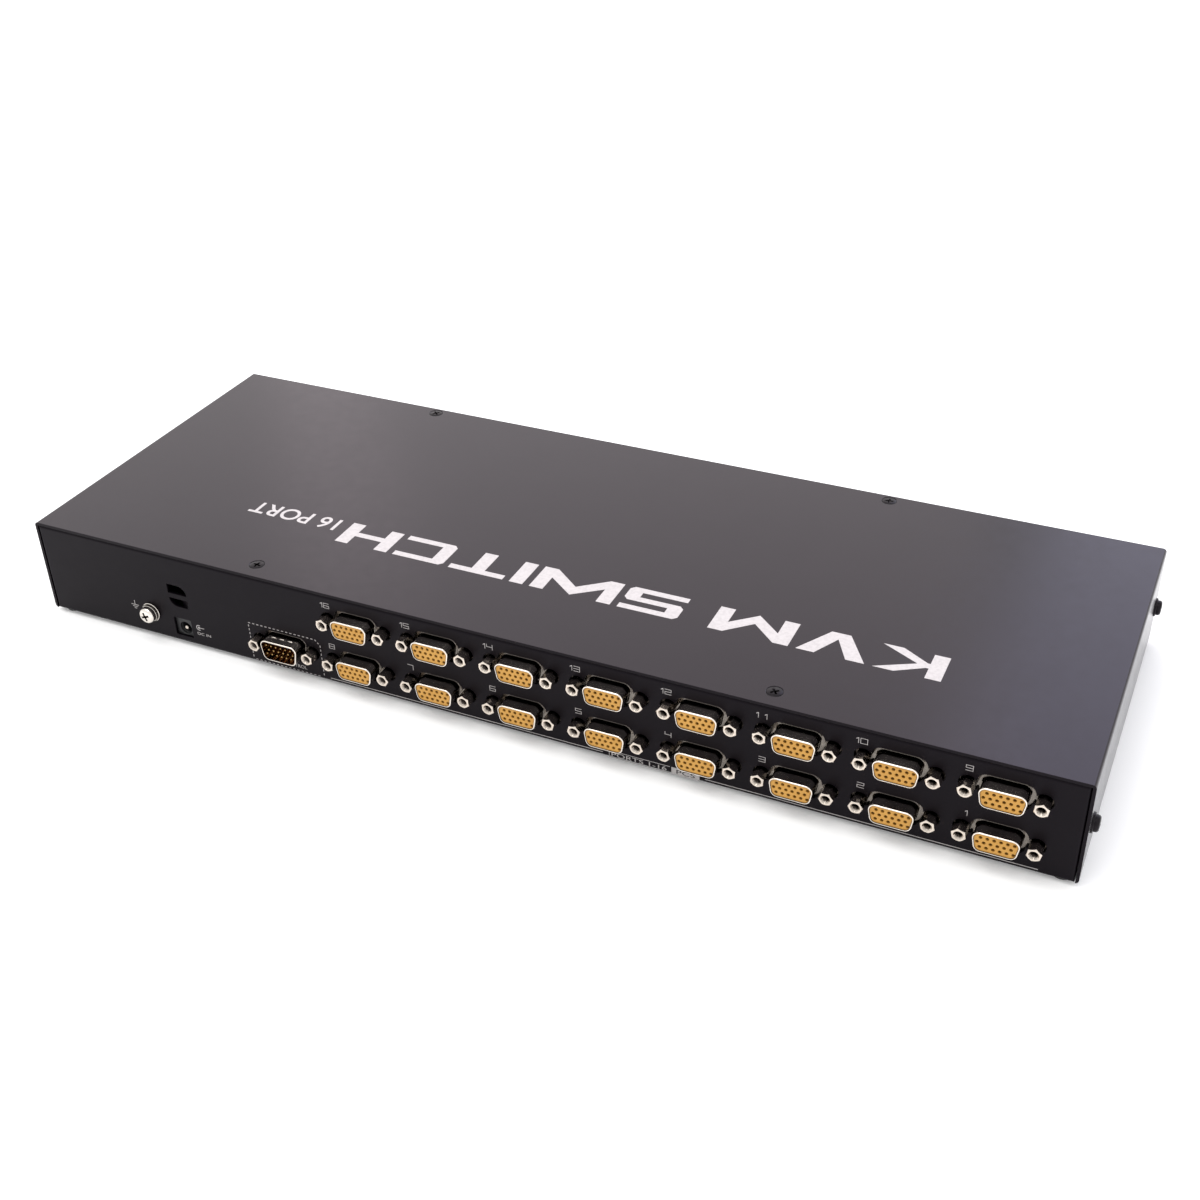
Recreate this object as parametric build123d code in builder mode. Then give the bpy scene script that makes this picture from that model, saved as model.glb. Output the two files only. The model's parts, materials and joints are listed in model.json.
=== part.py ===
from build123d import *
import os
from math import cos, radians, tan

# A one-unit-high keyboard, video and mouse switch for sixteen computers.
# +X runs along the case, +Y points out of the rear panel, +Z is up.
# The origin is on the table, under the middle of the whole outline.

os.makedirs("parts", exist_ok=True)

# ---- driving dimensions, in millimetres ----

# Folded steel case
CASE_W = 432.0
CASE_D = 154.5
CASE_H = 42.3
SHEET = 1.2
BEND_R = 1.2
COVER_R = 1.6
SIDE_GAP = 0.2
FRONT_RETURN = 9.0
REAR_RETURN = 14.0
SIDE_RETURN = 18.0
UPSTAND = 6.0

# How far the loose ends stand out of the case
FOOT_H = 1.7
REAR_PROUD = 5.6
FRONT_PROUD = 1.2

# Sixteen computer ports in eight stacked pairs
COLUMNS = 8
COLUMN_PITCH = 35.6
FIRST_COLUMN_X = 60.8
LOWER_ROW_Z = 13.2
ROW_PITCH = 19.05

# High-density D connectors: a six-by-three field of contacts
D_LEAN = 10.0
FLANGE_W = 30.8
FLANGE_H = 12.5
FLANGE_T = 0.5
SHELL_T = 0.45
SHELL_R = 2.6
FLARE_R = 0.45
RIM_R = 0.35
PORT_D = (16.9, 8.2)
CONSOLE_D = (17.8, 9.1)
PORT_CUTOUT = (20.8, 10.8)
CONSOLE_CUTOUT = (21.4, 11.8)
CUTOUT_R = 3.6
NECK_H = 3.4
PIN_COLUMNS = 6
PIN_PITCH = 2.26
PIN_ROW_PITCH = 2.0
PIN_ROW_SHIFT = 0.5
PIN_HOLE_R = 0.42
NOSE_CLEARANCE = 0.05
NOSE_SETBACK = 0.3
NOSE_EDGE_R = 0.2
HOLE_CHAMFER = 0.12
SOCKET_SETBACK = 1.4
SOCKET_WALL_GAP = 0.06
SOCKET_BORE_DEPTH = 3.0
BLOCK_W = 19.6
BLOCK_H = 9.4
BLOCK_T = 3.0
POCKET_PLAY = 0.4
CONSOLE_X = 95.5
CONSOLE_Z = 13.5
CONSOLE_FLOOR_SINK = 0.6
CONSOLE_PIN_SETBACK = 0.7
CONSOLE_PIN_PLAY = 0.02
CONSOLE_PIN_TIP_R = 0.25
DIMPLE_PITCH = 3.9
DIMPLE_OUT = 2.0
DIMPLE_W = 2.1
DIMPLE_D = 0.9
DIMPLE_H = 0.25
HOUSING_D = 18.0
CONSOLE_HOUSING_D = 13.0

# Hex standoffs either side of each connector
JACK_SPACING = 24.99
JACK_FLATS = 4.76
JACK_PROUD = 5.0
JACK_HOLE_R = 1.15
JACK_HOLE_DEPTH = 4.5
JACK_STUD_R = 1.4
JACK_STUD_L = 6.5
JACK_PASSAGE_R = 3.2
JACK_CHAMFER_W = 0.45
JACK_MOUTH_W = 0.35

# Left end of the rear panel, as seen from behind
GROUND_X = 162.3
GROUND_Z = 13.0
GROUND_HEAD_R = 3.5
GROUND_HEAD_H = 2.7
GROUND_SHANK_L = 12.0
FLAT_WASHER_R = 4.3
FLAT_WASHER_T = 0.8
LOCK_WASHER_R = 3.7
LOCK_WASHER_T = 1.1
LOCK_SPLIT_W = 0.5
WASHER_BORE_R = 2.2
M4_SHANK_R = 1.95
M4_HOLE_R = 2.0
TIE_X = 146.8
TIE_Z = 24.3
TIE_W = 9.2
TIE_H = 10.4
TIE_R = 4.0
TIE_STRAP_Z = 24.1
TIE_STRAP_H = 2.2
TIE_TONGUE_DROP = 2.6
DC_X = 146.8
DC_Z = 9.1
DC_AXIS_Z = 8.0
DC_MOUTH_R = 2.9
DC_PIN_R = 1.0
DC_BODY_W = 9.0
DC_BODY_H = 10.0
DC_BODY_D = 14.0
DC_WINDOW_W = 8.6
DC_WINDOW_H = 8.6
DC_SETBACK = 1.25
DC_MOUTH_DEPTH = 9.5
DC_PIN_SETBACK = 0.3
DC_EAR_W = 2.0
DC_EAR_T = 1.2

# Screws of the case
COVER_SCREW_X = (109.9, -105.7)
COVER_SCREW_FROM_REAR = 7.85
COVER_SCREW_FROM_FRONT = 4.0
COVER_HEAD_R = 3.2
COVER_HEAD_FOOT_R = 2.0
COVER_SHANK_L = 4.0
COVER_RECESS_W = 3.4
COVER_RECESS_SLOT = 0.8
COVER_RECESS_DEPTH = 1.1
M3_SHANK_R = 1.45
M3_HOLE_R = 1.5
BOSS_WALL = 1.1
BOSS_H = 1.5
SIDE_SCREW_FROM_REAR = 10.4
SIDE_SCREW_FROM_FRONT = 6.0
SIDE_SCREW_Z = 20.5
SIDE_SCREW_PROUD = 2.6
SIDE_HEAD_R = 3.0
SIDE_FLANGE_R = 3.7
SIDE_FLANGE_T = 0.7
SIDE_SHANK_L = 8.0
SIDE_PASSAGE_R = 2.25
FOOT_R = 4.5
FOOT_INSET = 6.0

# Main board and what stands on it
BOARD_T = 1.6
BOARD_LIFT = 2.4
BOARD_W = 410.0
BOARD_REAR_GAP = 2.0
BOARD_FRONT_GAP = 17.0
BOARD_HOLE_R = 1.6
BOARD_SCREW_X = (-198.0, -66.0, 66.0, 198.0)
BOARD_SCREW_FROM_FRONT = 24.0
BOARD_SCREW_FROM_REAR = 32.0
STANDOFF_R = 2.6
SCREW_HEAD_R = 2.7
SCREW_HEAD_H = 1.8
BOARD_THREAD_R = 1.25
BOARD_SHANK_R = 1.2
CHIP_T = 1.5
SWITCH_CHIP = (12.0, 8.0)
SWITCH_CHIP_FROM_REAR = (48.0, 66.0)
LOGIC_FROM_REAR = 96.0
PROCESSOR_X = 30.0
PROCESSOR_W = 20.0
MEMORY_X = 62.0
MEMORY = (18.0, 10.0)
CAPACITOR_X = 130.0
CAPACITOR_FROM_REAR = 44.0
CAPACITOR_R = 5.0
CAPACITOR_H = 14.0
CAPACITOR_PITCH = (13.0, 14.0)
RIBBON_X = 20.0
RIBBON_Z = 22.0
RIBBON_W = 25.0
RIBBON_T = 1.0
RIBBON_BEND_R = 6.0
RIBBON_STRAIGHT = 6.0
RIBBON_PLUG = (30.0, 8.0)
RIBBON_PLUG_H = 6.0

# Control board behind the front panel
CONTROL_GAP = 9.0
CONTROL_W = 320.0
CONTROL_X = 40.0
CONTROL_H = 26.0
CONTROL_Z = 25.0
CONTROL_SCREW_X = (-112.0, 192.0)
CONTROL_SCREW_Z = 33.0

# Front panel lamps and buttons (+X is on the right as seen from the front)
LED_R = 1.5
LED_HOLE_R = 1.6
LED_BASE_R = 1.9
LED_BASE_H = 1.0
LED_PROUD = 0.3
LED_PITCH = 12.0
LED_FIRST_X = -96.0
LED_ROW_Z = (18.5, 27.0)
POWER_LED_X = 184.0
POWER_LED_Z = 22.8
BUTTON_W = 11.0
BUTTON_H = 6.5
BUTTON_X = (108.0, 128.0)
BUTTON_Z = 22.8
BUTTON_PLAY = 0.3
BUTTON_CORNER_R = 1.2
BUTTON_FLANGE = 1.2
BUTTON_FLANGE_T = 1.0
RESET_X = 152.0
RESET_R = 2.0
RESET_SINK = 0.3
SWITCH_W = 6.2
SWITCH_D = 3.5
SWITCH_WALL = 0.5
PLUNGER_R = 1.65
PLUNGER_L = 4.5
PLUNGER_PLAY = 0.1

# ---- places that follow from them ----

TOTAL_D = CASE_D + REAR_PROUD + FRONT_PROUD
REAR_Y = TOTAL_D / 2 - REAR_PROUD
FRONT_Y = REAR_Y - CASE_D
MID_Y = (REAR_Y + FRONT_Y) / 2
FLOOR_Z = FOOT_H
TOP_Z = FLOOR_Z + CASE_H
CHASSIS_W = CASE_W - 2 * (SHEET + SIDE_GAP)
BOARD_Z = FLOOR_Z + SHEET + BOARD_LIFT
BOARD_TOP_Z = BOARD_Z + BOARD_T
COLUMN_X = [FIRST_COLUMN_X - COLUMN_PITCH * k for k in range(COLUMNS)]
ROW_Z = (LOWER_ROW_Z, LOWER_ROW_Z + ROW_PITCH)
PORTS = [(x, z) for z in ROW_Z for x in reversed(COLUMN_X)]
JACKS = [(x + side * JACK_SPACING / 2, z) for x, z in [*PORTS, (CONSOLE_X, CONSOLE_Z)] for side in (-1, 1)]
LED_COLUMNS = [LED_FIRST_X + LED_PITCH * k for k in range(2 * COLUMNS)]
LEDS = [(x, z) for x in LED_COLUMNS for z in LED_ROW_Z] + [(POWER_LED_X, POWER_LED_Z)]
BOARD_SCREW_Y = (FRONT_Y + BOARD_SCREW_FROM_FRONT, REAR_Y - BOARD_SCREW_FROM_REAR)
BOARD_SCREWS = [(x, y) for x in BOARD_SCREW_X for y in BOARD_SCREW_Y]
CONTROL_SCREWS = [(x, CONTROL_SCREW_Z) for x in CONTROL_SCREW_X]
COVER_SCREW_Y = (REAR_Y - COVER_SCREW_FROM_REAR, FRONT_Y + COVER_SCREW_FROM_FRONT)
COVER_SCREWS = [(x, y) for x in COVER_SCREW_X for y in COVER_SCREW_Y]
SIDE_SCREW_Y = (REAR_Y - SIDE_SCREW_FROM_REAR, FRONT_Y + SIDE_SCREW_FROM_FRONT)
BLOCK_OUT = -SHEET - FLANGE_T


def rear_plane(out=0.0):
    """Plane beside the rear panel's face: (x, z) sketches, normal pointing into the case."""
    return Plane(origin=(0, REAR_Y + out, 0), x_dir=(1, 0, 0), z_dir=(0, -1, 0))


def front_plane(depth=0.0):
    """Plane behind the front panel's face: (x, z) sketches, normal pointing out of the front."""
    return Plane(origin=(0, FRONT_Y + depth, 0), x_dir=(1, 0, 0), z_dir=(0, -1, 0))


def rear_seat(x, z, out=0.0):
    """Seat on the rear panel for a turned piece, whose own +Z then points out of the case."""
    return Plane(origin=(x, REAR_Y + out, z), x_dir=(-1, 0, 0), z_dir=(0, 1, 0))


def side_seat(side, y, z):
    """Seat on the cover's left or right face for a turned piece, whose own +Z points outwards."""
    return Plane(origin=(side * CASE_W / 2, y, z), x_dir=(0, 1, 0), z_dir=(side, 0, 0))


def d_outline(size, radius, shrink=0.0):
    """D-shaped outline, wide side up, its ends leaning in towards the bottom."""
    width = size[0] - 2 * shrink
    height = size[1] - 2 * shrink
    lean = height * tan(radians(D_LEAN))
    with BuildSketch() as outline:
        with BuildLine():
            Polyline(
                (-width / 2, height / 2),
                (width / 2, height / 2),
                (width / 2 - lean, -height / 2),
                (lean - width / 2, -height / 2),
                close=True,
            )
        make_face()
        fillet(outline.vertices(), radius - shrink)
    return outline.sketch


def contact_places(mirror=1):
    """Centres of the eighteen contacts; the middle row is shifted to one side."""
    places = []
    for row in (-1, 0, 1):
        shift = PIN_ROW_SHIFT if row == 0 else -PIN_ROW_SHIFT
        for column in range(PIN_COLUMNS):
            x = (column - (PIN_COLUMNS - 1) / 2) * PIN_PITCH
            places.append((x + mirror * shift, row * PIN_ROW_PITCH))
    return places


# ---- folded case ----


def make_chassis():
    """Floor, front panel and rear panel folded from one sheet, with returns at their edges."""
    bosses = make_bosses()
    openings = [make_tapped_holes(), make_rear_openings(), make_tie_windows(), make_front_openings()]
    tongue = make_tie_tongue()
    open_d = CASE_D - FRONT_RETURN - REAR_RETURN
    with BuildPart() as chassis:
        with BuildSketch(Plane.XY.offset(FLOOR_Z)):
            with Locations((0, MID_Y)):
                Rectangle(CHASSIS_W, CASE_D)
        extrude(amount=CASE_H - SHEET)
        fillet(chassis.faces().filter_by(Axis.Y).edges(), BEND_R)
        with BuildSketch(Plane.XY.offset(FLOOR_Z + SHEET)):
            with Locations((0, MID_Y)):
                Rectangle(CHASSIS_W - 2 * SHEET, CASE_D - 2 * SHEET)
        extrude(amount=CASE_H - 3 * SHEET, mode=Mode.SUBTRACT)
        with BuildSketch(Plane.XY.offset(TOP_Z - 3 * SHEET)):
            with Locations((0, FRONT_Y + FRONT_RETURN + open_d / 2)):
                Rectangle(CHASSIS_W, open_d)
        extrude(amount=3 * SHEET, mode=Mode.SUBTRACT)
        with BuildSketch(Plane.XY.offset(FLOOR_Z + UPSTAND)):
            with Locations((0, MID_Y)):
                Rectangle(CHASSIS_W, CASE_D - 2 * SIDE_RETURN)
        extrude(amount=CASE_H, mode=Mode.SUBTRACT)
        add(bosses)
        for opening in openings:
            add(opening, mode=Mode.SUBTRACT)
        add(tongue)
    chassis.part.label = "chassis"
    return chassis.part


def make_bosses():
    """Extruded rims that give the tapped holes in the sheet more thread."""
    with BuildPart() as bosses:
        with BuildSketch(Plane.XY.offset(TOP_Z - 2 * SHEET)):
            with Locations(*COVER_SCREWS):
                Circle(M3_HOLE_R + BOSS_WALL)
        extrude(amount=-BOSS_H)
        with BuildSketch(rear_plane(-SHEET)):
            with Locations((GROUND_X, GROUND_Z)):
                Circle(M4_HOLE_R + BOSS_WALL)
        extrude(amount=BOSS_H)
    return bosses.part


def make_tapped_holes():
    """Holes for the cover's screws, the ground screw and the side screws."""
    side_holes = [side_seat(side, y, SIDE_SCREW_Z) for side in (-1, 1) for y in SIDE_SCREW_Y]
    with BuildPart() as holes:
        with BuildSketch(Plane.XY.offset(TOP_Z - SHEET)):
            with Locations(*COVER_SCREWS):
                Circle(M3_HOLE_R)
        extrude(amount=-SHEET - BOSS_H)
        with BuildSketch(rear_plane()):
            with Locations((GROUND_X, GROUND_Z)):
                Circle(M4_HOLE_R)
        extrude(amount=SHEET + BOSS_H)
        with Locations(*side_holes):
            Cylinder(M4_HOLE_R, 8 * SHEET)
    return holes.part


def make_rear_openings():
    """Connector cut-outs and the window of the power inlet."""
    port_cut = d_outline(PORT_CUTOUT, CUTOUT_R)
    console_cut = d_outline(CONSOLE_CUTOUT, CUTOUT_R)
    with BuildPart() as openings:
        with BuildSketch(rear_plane()):
            with Locations(*PORTS):
                add(port_cut)
                Rectangle(JACK_SPACING, NECK_H)
            with Locations((CONSOLE_X, CONSOLE_Z)):
                add(console_cut)
                Rectangle(JACK_SPACING, NECK_H)
            with Locations(*JACKS):
                Circle(JACK_PASSAGE_R)
            with Locations((DC_X, DC_Z)):
                RectangleRounded(DC_WINDOW_W, DC_WINDOW_H, 0.6)
        extrude(amount=SHEET)
    return openings.part


def make_tie_windows():
    """Two windows with a strap left between them, for a cable tie."""
    with BuildPart() as windows:
        with BuildSketch(rear_plane()) as outline:
            with Locations((TIE_X, TIE_Z)):
                Rectangle(TIE_W, TIE_H)
            low_x = outline.vertices().sort_by(Axis.X)[:2]
            high_x = outline.vertices().sort_by(Axis.X)[2:]
            fillet([low_x.sort_by(Axis.Y)[-1], high_x.sort_by(Axis.Y)[0]], TIE_R)
            with Locations((TIE_X, TIE_STRAP_Z)):
                Rectangle(TIE_W, TIE_STRAP_H, mode=Mode.SUBTRACT)
        extrude(amount=SHEET)
    return windows.part


def make_tie_tongue():
    """Tongue bent inwards from one side of the lower window."""
    low_z = TIE_Z - TIE_H / 2
    high_z = TIE_STRAP_Z - TIE_STRAP_H / 2
    root_x = TIE_X - TIE_W / 2
    tip_x = root_x + TIE_W * 0.55
    inner = REAR_Y - SHEET
    with BuildPart() as tongue:
        with BuildSketch(Plane.XY.offset(low_z)):
            with BuildLine():
                Polyline(
                    (root_x, REAR_Y),
                    (tip_x, REAR_Y - TIE_TONGUE_DROP),
                    (tip_x, inner - TIE_TONGUE_DROP),
                    (root_x, inner - 0.2),
                    (root_x - 1.0, inner),
                    (root_x - 1.0, REAR_Y - SHEET / 2),
                    close=True,
                )
            make_face()
        extrude(amount=high_z - low_z)
    return tongue.part


def make_front_openings():
    """Lamp holes, the two button windows and the reset hole."""
    with BuildPart() as openings:
        with BuildSketch(front_plane()):
            with Locations(*LEDS):
                Circle(LED_HOLE_R)
            with Locations(*[(x, BUTTON_Z) for x in BUTTON_X]):
                RectangleRounded(BUTTON_W + 2 * BUTTON_PLAY, BUTTON_H + 2 * BUTTON_PLAY, 1.5)
            with Locations((RESET_X, BUTTON_Z)):
                Circle(RESET_R + BUTTON_PLAY)
        extrude(amount=-SHEET)
    return openings.part


def make_top_cover():
    """Top and both sides folded from one sheet, dropped over the chassis."""
    with BuildPart() as cover:
        with BuildSketch(rear_plane()) as section:
            with Locations((0, FLOOR_Z + CASE_H / 2)):
                Rectangle(CASE_W, CASE_H)
            fillet(section.vertices().group_by(Axis.Z)[-1], COVER_R)
            with Locations((0, FLOOR_Z + (CASE_H - SHEET) / 2)):
                Rectangle(CASE_W - 2 * SHEET, CASE_H - SHEET, mode=Mode.SUBTRACT)
        extrude(amount=CASE_D)
        with Locations(*[(x, y, TOP_Z - SHEET / 2) for x, y in COVER_SCREWS]):
            Cone(COVER_HEAD_FOOT_R, COVER_HEAD_R, SHEET, mode=Mode.SUBTRACT)
        with BuildSketch(Plane.YZ):
            with Locations(*[(y, SIDE_SCREW_Z) for y in SIDE_SCREW_Y]):
                Circle(SIDE_PASSAGE_R)
        extrude(amount=CASE_W, both=True, mode=Mode.SUBTRACT)
    cover.part.label = "top_cover"
    return cover.part


# ---- connectors ----


def make_shell(label, x, z, size):
    """Drawn metal shell of one connector: a flange behind the panel and a D-shaped collar."""
    hollow = d_outline(size, SHELL_R, SHELL_T)
    with BuildPart() as shell:
        with BuildSketch(rear_plane(-SHEET)):
            with Locations((x, z)):
                RectangleRounded(FLANGE_W, FLANGE_H, 1.0)
        extrude(amount=FLANGE_T)
        with BuildSketch(rear_plane(REAR_PROUD)):
            with Locations((x, z)):
                add(d_outline(size, SHELL_R))
        extrude(amount=REAR_PROUD + SHEET)
        flange_face = shell.faces().filter_by(Axis.Y).sort_by(Axis.Y)[1]
        fillet(flange_face.inner_wires()[0].edges(), FLARE_R)
        fillet(shell.faces().sort_by(Axis.Y)[-1].edges(), RIM_R)
        with BuildSketch(rear_plane(REAR_PROUD)):
            with Locations((x, z)):
                add(hollow)
        extrude(amount=REAR_PROUD + SHEET + FLANGE_T, mode=Mode.SUBTRACT)
        with BuildSketch(rear_plane(-SHEET)):
            with Locations((x - JACK_SPACING / 2, z), (x + JACK_SPACING / 2, z)):
                Circle(JACK_STUD_R + 0.2)
        extrude(amount=FLANGE_T, mode=Mode.SUBTRACT)
    shell.part.label = label
    return shell.part


def make_port_insulator(label, x, z):
    """Moulded block that fills one computer port's shell, with eighteen contact holes."""
    nose_out = REAR_PROUD - NOSE_SETBACK
    with BuildPart() as insulator:
        with BuildSketch(rear_plane(nose_out)):
            with Locations((x, z)):
                add(d_outline(PORT_D, SHELL_R, SHELL_T + NOSE_CLEARANCE))
        extrude(amount=nose_out - BLOCK_OUT)
        fillet(insulator.faces().sort_by(Axis.Y)[-1].edges(), NOSE_EDGE_R)
        with BuildSketch(rear_plane(BLOCK_OUT)):
            with Locations((x, z)):
                Rectangle(BLOCK_W, BLOCK_H)
        extrude(amount=BLOCK_T)
        with BuildSketch(rear_plane(nose_out)):
            with Locations((x, z)):
                with Locations(*contact_places()):
                    Circle(PIN_HOLE_R)
        extrude(amount=nose_out - BLOCK_OUT + BLOCK_T, mode=Mode.SUBTRACT)
        mouths = insulator.faces().sort_by(Axis.Y)[-1].inner_wires()
        chamfer(mouths.edges(), HOLE_CHAMFER)
    insulator.part.label = label
    return insulator.part


def make_port_contacts():
    """Sockets of all sixteen ports, set back behind the faces of their insulators."""
    mouth_out = REAR_PROUD - NOSE_SETBACK - SOCKET_SETBACK
    foot_out = BLOCK_OUT - BLOCK_T
    socket_r = PIN_HOLE_R - SOCKET_WALL_GAP
    with BuildPart() as contacts:
        with BuildSketch(rear_plane(foot_out)):
            with Locations(*PORTS):
                with Locations(*contact_places()):
                    Circle(socket_r)
        extrude(amount=foot_out - mouth_out)
        with BuildSketch(rear_plane(mouth_out)):
            with Locations(*PORTS):
                with Locations(*contact_places()):
                    Circle(socket_r / 2)
        extrude(amount=SOCKET_BORE_DEPTH, mode=Mode.SUBTRACT)
    contacts.part.label = "port_contacts"
    return contacts.part


def make_console_insulator():
    """Moulded floor of the console connector, which carries its pins."""
    depth = -BLOCK_OUT - CONSOLE_FLOOR_SINK
    with BuildPart() as insulator:
        with BuildSketch(rear_plane(-CONSOLE_FLOOR_SINK)):
            with Locations((CONSOLE_X, CONSOLE_Z)):
                add(d_outline(CONSOLE_D, SHELL_R, SHELL_T + NOSE_CLEARANCE))
        extrude(amount=depth)
        with BuildSketch(rear_plane(BLOCK_OUT)):
            with Locations((CONSOLE_X, CONSOLE_Z)):
                Rectangle(BLOCK_W, BLOCK_H)
        extrude(amount=BLOCK_T)
        with BuildSketch(rear_plane(-CONSOLE_FLOOR_SINK)):
            with Locations((CONSOLE_X, CONSOLE_Z)):
                with Locations(*contact_places(-1)):
                    Circle(PIN_HOLE_R)
        extrude(amount=depth + BLOCK_T, mode=Mode.SUBTRACT)
    insulator.part.label = "console_insulator"
    return insulator.part


def make_console_pins():
    """Eighteen round pins with rounded tips, a little shorter than the shell around them."""
    tip_out = REAR_PROUD - CONSOLE_PIN_SETBACK
    with BuildPart() as pins:
        with BuildSketch(rear_plane(tip_out)):
            with Locations((CONSOLE_X, CONSOLE_Z)):
                with Locations(*contact_places(-1)):
                    Circle(PIN_HOLE_R - CONSOLE_PIN_PLAY)
        extrude(amount=tip_out - BLOCK_OUT + BLOCK_T)
        fillet(pins.faces().filter_by(Axis.Y).group_by(Axis.Y)[-1].edges(), CONSOLE_PIN_TIP_R)
    pins.part.label = "console_pins"
    return pins.part


def make_console_shell():
    """The console connector's shell, with three spring dimples pressed into its top."""
    plain = make_shell("console_shell", CONSOLE_X, CONSOLE_Z, CONSOLE_D)
    with BuildPart() as shell:
        add(plain)
        with BuildSketch(Plane.XY.offset(CONSOLE_Z + CONSOLE_D[1] / 2 - SHELL_T / 2)):
            with Locations((CONSOLE_X, REAR_Y + DIMPLE_OUT)):
                with GridLocations(DIMPLE_PITCH, 1, 3, 1):
                    SlotOverall(DIMPLE_W, DIMPLE_D)
        extrude(amount=SHELL_T / 2 + DIMPLE_H)
        dimples = shell.faces().filter_by(Axis.Z).group_by(Axis.Z)[-1]
        fillet(dimples.edges(), DIMPLE_H * 0.8)
    shell.part.label = "console_shell"
    return shell.part


def make_connector_housings():
    """Plastic bodies of the stacked port pairs and of the console connector, standing on the board."""
    front = REAR_Y + BLOCK_OUT
    stack_top = ROW_Z[-1] + FLANGE_H / 2
    single_top = CONSOLE_Z + FLANGE_H / 2
    blocks = [(x, stack_top, HOUSING_D) for x in COLUMN_X] + [(CONSOLE_X, single_top, CONSOLE_HOUSING_D)]
    with BuildPart() as housings:
        for x, top, depth in blocks:
            with BuildSketch(Plane.YZ.offset(x - FLANGE_W / 2)):
                with BuildLine():
                    Polyline(
                        (front, BOARD_TOP_Z),
                        (front, top),
                        (front - depth * 0.6, top),
                        (front - depth, top - depth * 0.4),
                        (front - depth, BOARD_TOP_Z),
                        close=True,
                    )
                make_face()
            extrude(amount=FLANGE_W)
        with BuildSketch(rear_plane(BLOCK_OUT)):
            with Locations(*PORTS, (CONSOLE_X, CONSOLE_Z)):
                Rectangle(BLOCK_W + POCKET_PLAY, BLOCK_H + POCKET_PLAY)
        extrude(amount=BLOCK_T, mode=Mode.SUBTRACT)
        with BuildSketch(rear_plane(BLOCK_OUT)):
            with Locations(*JACKS):
                Circle(JACK_STUD_R + 0.1)
        extrude(amount=JACK_STUD_L, mode=Mode.SUBTRACT)
    housings.part.label = "connector_housings"
    return housings.part


def make_jackscrew():
    """One hex standoff: a tapped hex that stands out of the panel and a stud behind it."""
    length = JACK_PROUD + SHEET
    corner_r = JACK_FLATS / 2 / cos(radians(30))
    with BuildPart() as jack:
        with BuildSketch():
            RegularPolygon(JACK_FLATS / 2, 6, major_radius=False)
        extrude(amount=length)
        with BuildSketch(Plane.XZ):
            with BuildLine():
                Polyline(
                    (0, 0),
                    (corner_r, 0),
                    (corner_r, length - JACK_CHAMFER_W),
                    (JACK_FLATS / 2 - 0.1, length),
                    (0, length),
                    close=True,
                )
            make_face()
        revolve(axis=Axis.Z, mode=Mode.INTERSECT)
        with BuildSketch(Plane.XZ):
            with BuildLine():
                Polyline(
                    (0, length),
                    (JACK_HOLE_R + JACK_MOUTH_W, length),
                    (JACK_HOLE_R, length - JACK_MOUTH_W),
                    (JACK_HOLE_R, length - JACK_HOLE_DEPTH),
                    (0, length - JACK_HOLE_DEPTH - JACK_HOLE_R / 2),
                    close=True,
                )
            make_face()
        revolve(axis=Axis.Z, mode=Mode.SUBTRACT)
        with BuildSketch():
            Circle(JACK_STUD_R)
        extrude(amount=-JACK_STUD_L)
    return jack.part


def make_jackscrews():
    """All the hex standoffs, two to a connector."""
    one = make_jackscrew()
    with BuildPart() as jacks:
        with Locations(*[rear_seat(x, z, -SHEET) for x, z in JACKS]):
            add(one)
    jacks.part.label = "jackscrews"
    return jacks.part


def make_dc_jack():
    """Body of the power inlet, sunk into a notch of the board and hung on two ears."""
    mid_y = REAR_Y - DC_SETBACK - DC_BODY_D / 2
    with BuildPart() as jack:
        with BuildSketch(rear_plane(-DC_SETBACK)):
            with Locations((DC_X, DC_Z)):
                RectangleRounded(DC_BODY_W, DC_BODY_H, 0.5)
        extrude(amount=DC_BODY_D)
        with BuildSketch(Plane.XY.offset(BOARD_TOP_Z)):
            with Locations((DC_X, mid_y)):
                Rectangle(DC_BODY_W + 2 * DC_EAR_W, DC_BODY_D * 0.6)
        extrude(amount=DC_EAR_T)
        with BuildSketch(rear_plane(-DC_SETBACK)):
            with Locations((DC_X, DC_AXIS_Z)):
                Circle(DC_MOUTH_R)
        extrude(amount=DC_MOUTH_DEPTH, mode=Mode.SUBTRACT)
        mouth = jack.faces().sort_by(Axis.Y)[-1].inner_wires()[0]
        chamfer(mouth.edges(), 0.4)
    jack.part.label = "dc_jack"
    return jack.part


def make_dc_jack_pin():
    """Centre contact of the power inlet."""
    with BuildPart() as pin:
        with BuildSketch(rear_plane(-DC_SETBACK - DC_MOUTH_DEPTH)):
            with Locations((DC_X, DC_AXIS_Z)):
                Circle(DC_PIN_R)
        extrude(amount=DC_PIN_SETBACK - DC_MOUTH_DEPTH)
        fillet(pin.faces().sort_by(Axis.Y)[-1].edges(), DC_PIN_R / 2)
    pin.part.label = "dc_jack_pin"
    return pin.part


# ---- fasteners and feet ----


def make_pan_screw(head_r, head_h, shank_r, length):
    """Cross-recessed pan head on the plane z = 0 with its shank below."""
    with BuildPart() as screw:
        with BuildSketch():
            Circle(head_r)
        extrude(amount=head_h)
        fillet(screw.faces().sort_by(Axis.Z)[-1].edges(), head_h * 0.45)
        with BuildSketch():
            Circle(shank_r)
        extrude(amount=-length)
        with BuildSketch(Plane.XY.offset(head_h)):
            Rectangle(head_r * 1.15, head_r * 0.26)
            Rectangle(head_r * 0.26, head_r * 1.15)
        extrude(amount=-head_h * 0.6, taper=12, mode=Mode.SUBTRACT)
    return screw.part


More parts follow.
